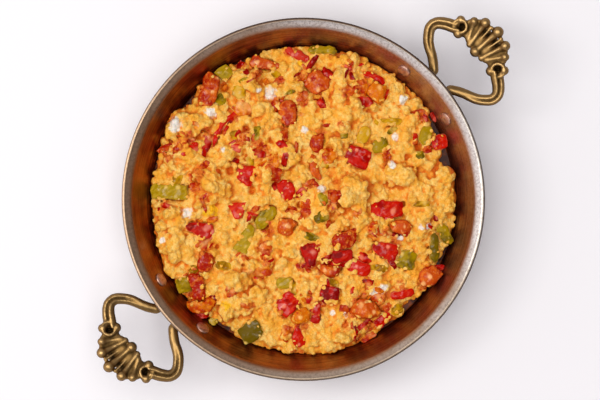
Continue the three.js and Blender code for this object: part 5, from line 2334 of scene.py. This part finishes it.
@dataclass
class Studio:
    """Plain pale ground, soft light from the left, and the photo's overhead camera.

    Attributes:
        ground_size: The ground's side.
        dim: How bright the air is on the picture's right.
        bright: How bright it is on the left.
        zenith: What is left of both straight overhead, as a share.
        air_tint: The colour of that light.
        aim_height: The height over the pan's middle that the lamps are turned to.
        lamps: The lamps: a broad one overhead and a small low one at the left.
    """

    ground_size: float = 4000.0
    dim: float = 0.42
    bright: float = 1.3
    zenith: float = 0.1
    air_tint: Colour = (0.94, 0.88, 0.93, 1.0)
    aim_height: float = 30.0
    lamps: tuple[Lamp, ...] = (
        Lamp("key", (-210, 0, 1620), 1450, 20.7, (1.0, 0.995, 0.975)),
        Lamp("glint", (-760, 90, 1050), 330, 2.5, (1.0, 0.99, 0.96)),
    )

    def axes(self) -> tuple[Array, Array]:
        """The directions in the frame of the photo's right and of its top."""
        cos, sin = math.cos(PHOTO_TURN), math.sin(PHOTO_TURN)
        return np.array([cos, -sin]), np.array([sin, cos])

    def build(self) -> None:
        """Builds the ground, the lights and the camera."""
        half = self.ground_size / 2
        points = np.array([[-half, -half, 0], [half, -half, 0], [half, half, 0], [-half, half, 0]])
        floor = mesh_object("studio_ground", points, [np.array([[0, 1, 2, 3]])])
        floor.data.materials.append(StudioPaper().material())
        floor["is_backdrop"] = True
        for lamp in self.lamps:
            self.light(lamp)
        self.air()
        bpy.context.scene.view_settings.view_transform = "Standard"
        self.camera()

    def air(self) -> None:
        """Lights the scene from all round: brightest low on the picture's left, dim overhead."""
        graph = Graph(bpy.data.worlds.new("studio_air"))
        right, _ = self.axes()
        direction = graph.node("ShaderNodeTexCoord", {}, {}, "Generated")
        leftward = graph.node(
            "ShaderNodeVectorMath", {"operation": "DOT_PRODUCT"},
            {0: direction, 1: (-right[0], -right[1], 0.0)}, "Value",
        )
        strength = leftward.ramp(-1.0, 1.0, self.dim, self.bright)
        overhead = graph.axis(direction, 2).ramp(0.0, 1.0, 1.0, self.zenith)
        sockets = {"Color": self.air_tint, "Strength": strength * overhead}
        glow = graph.node("ShaderNodeBackground", {}, sockets)
        graph.node("ShaderNodeOutputWorld", {}, {"Surface": glow}, None)
        bpy.context.scene.world = graph.owner

    def light(self, lamp: Lamp) -> None:
        """Adds a lamp.

        Args:
            lamp: The lamp.
        """
        right, up = self.axes()
        at = Vector((*(right * lamp.place[0] + up * lamp.place[1]), lamp.place[2])) * MM
        data = bpy.data.lights.new(lamp.name, "AREA")
        data.size = lamp.size * MM
        data.energy = lamp.watts
        data.color = lamp.tint
        made = placed_object(lamp.name, data)
        made.location = at
        aim = Vector((0, 0, self.aim_height)) * MM
        made.rotation_euler = (aim - at).to_track_quat("-Z", "Y").to_euler()

    def camera(self) -> None:
        """Puts the camera straight above, turned and framed as the photo is."""
        scale = RIM_RADIUS / PHOTO_RIM_PIXELS
        right, up = self.axes()
        across, along = PHOTO_WIDTH / 2 - PHOTO_RIM_X, PHOTO_RIM_Y - PHOTO_HEIGHT / 2
        offset = (right * across + up * along) * scale
        lens = bpy.data.cameras.new("photo_camera")
        lens.sensor_width = 36.0
        lens.lens = lens.sensor_width * PHOTO_DISTANCE / (PHOTO_WIDTH * scale)
        lens.clip_start = 0.05
        made = placed_object("photo_camera", lens)
        made.location = Vector((*offset, PAN_HEIGHT + PHOTO_DISTANCE)) * MM
        made.rotation_euler = (0, 0, -PHOTO_TURN)
        bpy.context.scene.camera = made


# ---- putting it together


def main(frame: dict) -> None:
    """Builds every piece in order and reports each one.
    """
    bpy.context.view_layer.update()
    nodes: dict[str, Piece] = frame["nodes"]
    Studio().build()
    pan = Pan()
    pan.build()
    rivets = [Rivet(f"rivet_{number + 1}", side, end) for number, (end, side) in
              enumerate(((1, 1), (1, -1), (-1, 1), (-1, -1)))]
    rivet_metal = RivetMetal().material()
    for rivet in rivets:
        rivet.build(pan, rivet_metal)
    brass = CastBrass().material()
    right = Handle().shaped(pan, rivets[:2])
    left = placed_object("handle_cast_left", right.data.copy())
    left.data.transform(Matrix.Rotation(math.pi, 4, "Z"))
    dress(right, brass, "brass", "handle_right")
    dress(left, brass, "brass", "handle_left")

    slots = {item["node"]: item["material_slot"] for item in frame["record"]["subparts"]}
    fleshes = {flesh.value: flesh for flesh in Flesh}
    finishes = flesh_finishes()
    toppings = [Topping(name, fleshes[slots[name]], TONES.get(name, 0.0)) for name in nodes
                if slots.get(name) in fleshes]
    pieces = [topping.build(nodes[topping.node], finishes[topping.flesh]) for topping in toppings]
    topping_tree = tree_of(*(piece.data for piece in pieces))
    egg = CookedEgg().material()
    heap = EggHeap(pan)
    parts = heap.build(nodes["eggs"], topping_tree, egg)
    EggBase(pan).build(egg)
    Juice(pan).build(JuiceAndGapShade().material())
    LooseCrumbs().build(topping_tree, egg)
    bed = tree_of(*(part.data for part in parts))
    torn = torn_bits(heap, TORN_BITS)
    for flesh in Flesh:
        ScrapKind(flesh).build(bed, torn, finishes[flesh])

    low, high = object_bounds()
    corners = [tuple(round(part, 5) for part in corner) for corner in (low, high)]
    LOG.info("visual box: %s to %s", *corners)


if __name__ == "__main__":
    logging.basicConfig(level=logging.INFO, format="%(name)s: %(message)s")
    main(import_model())
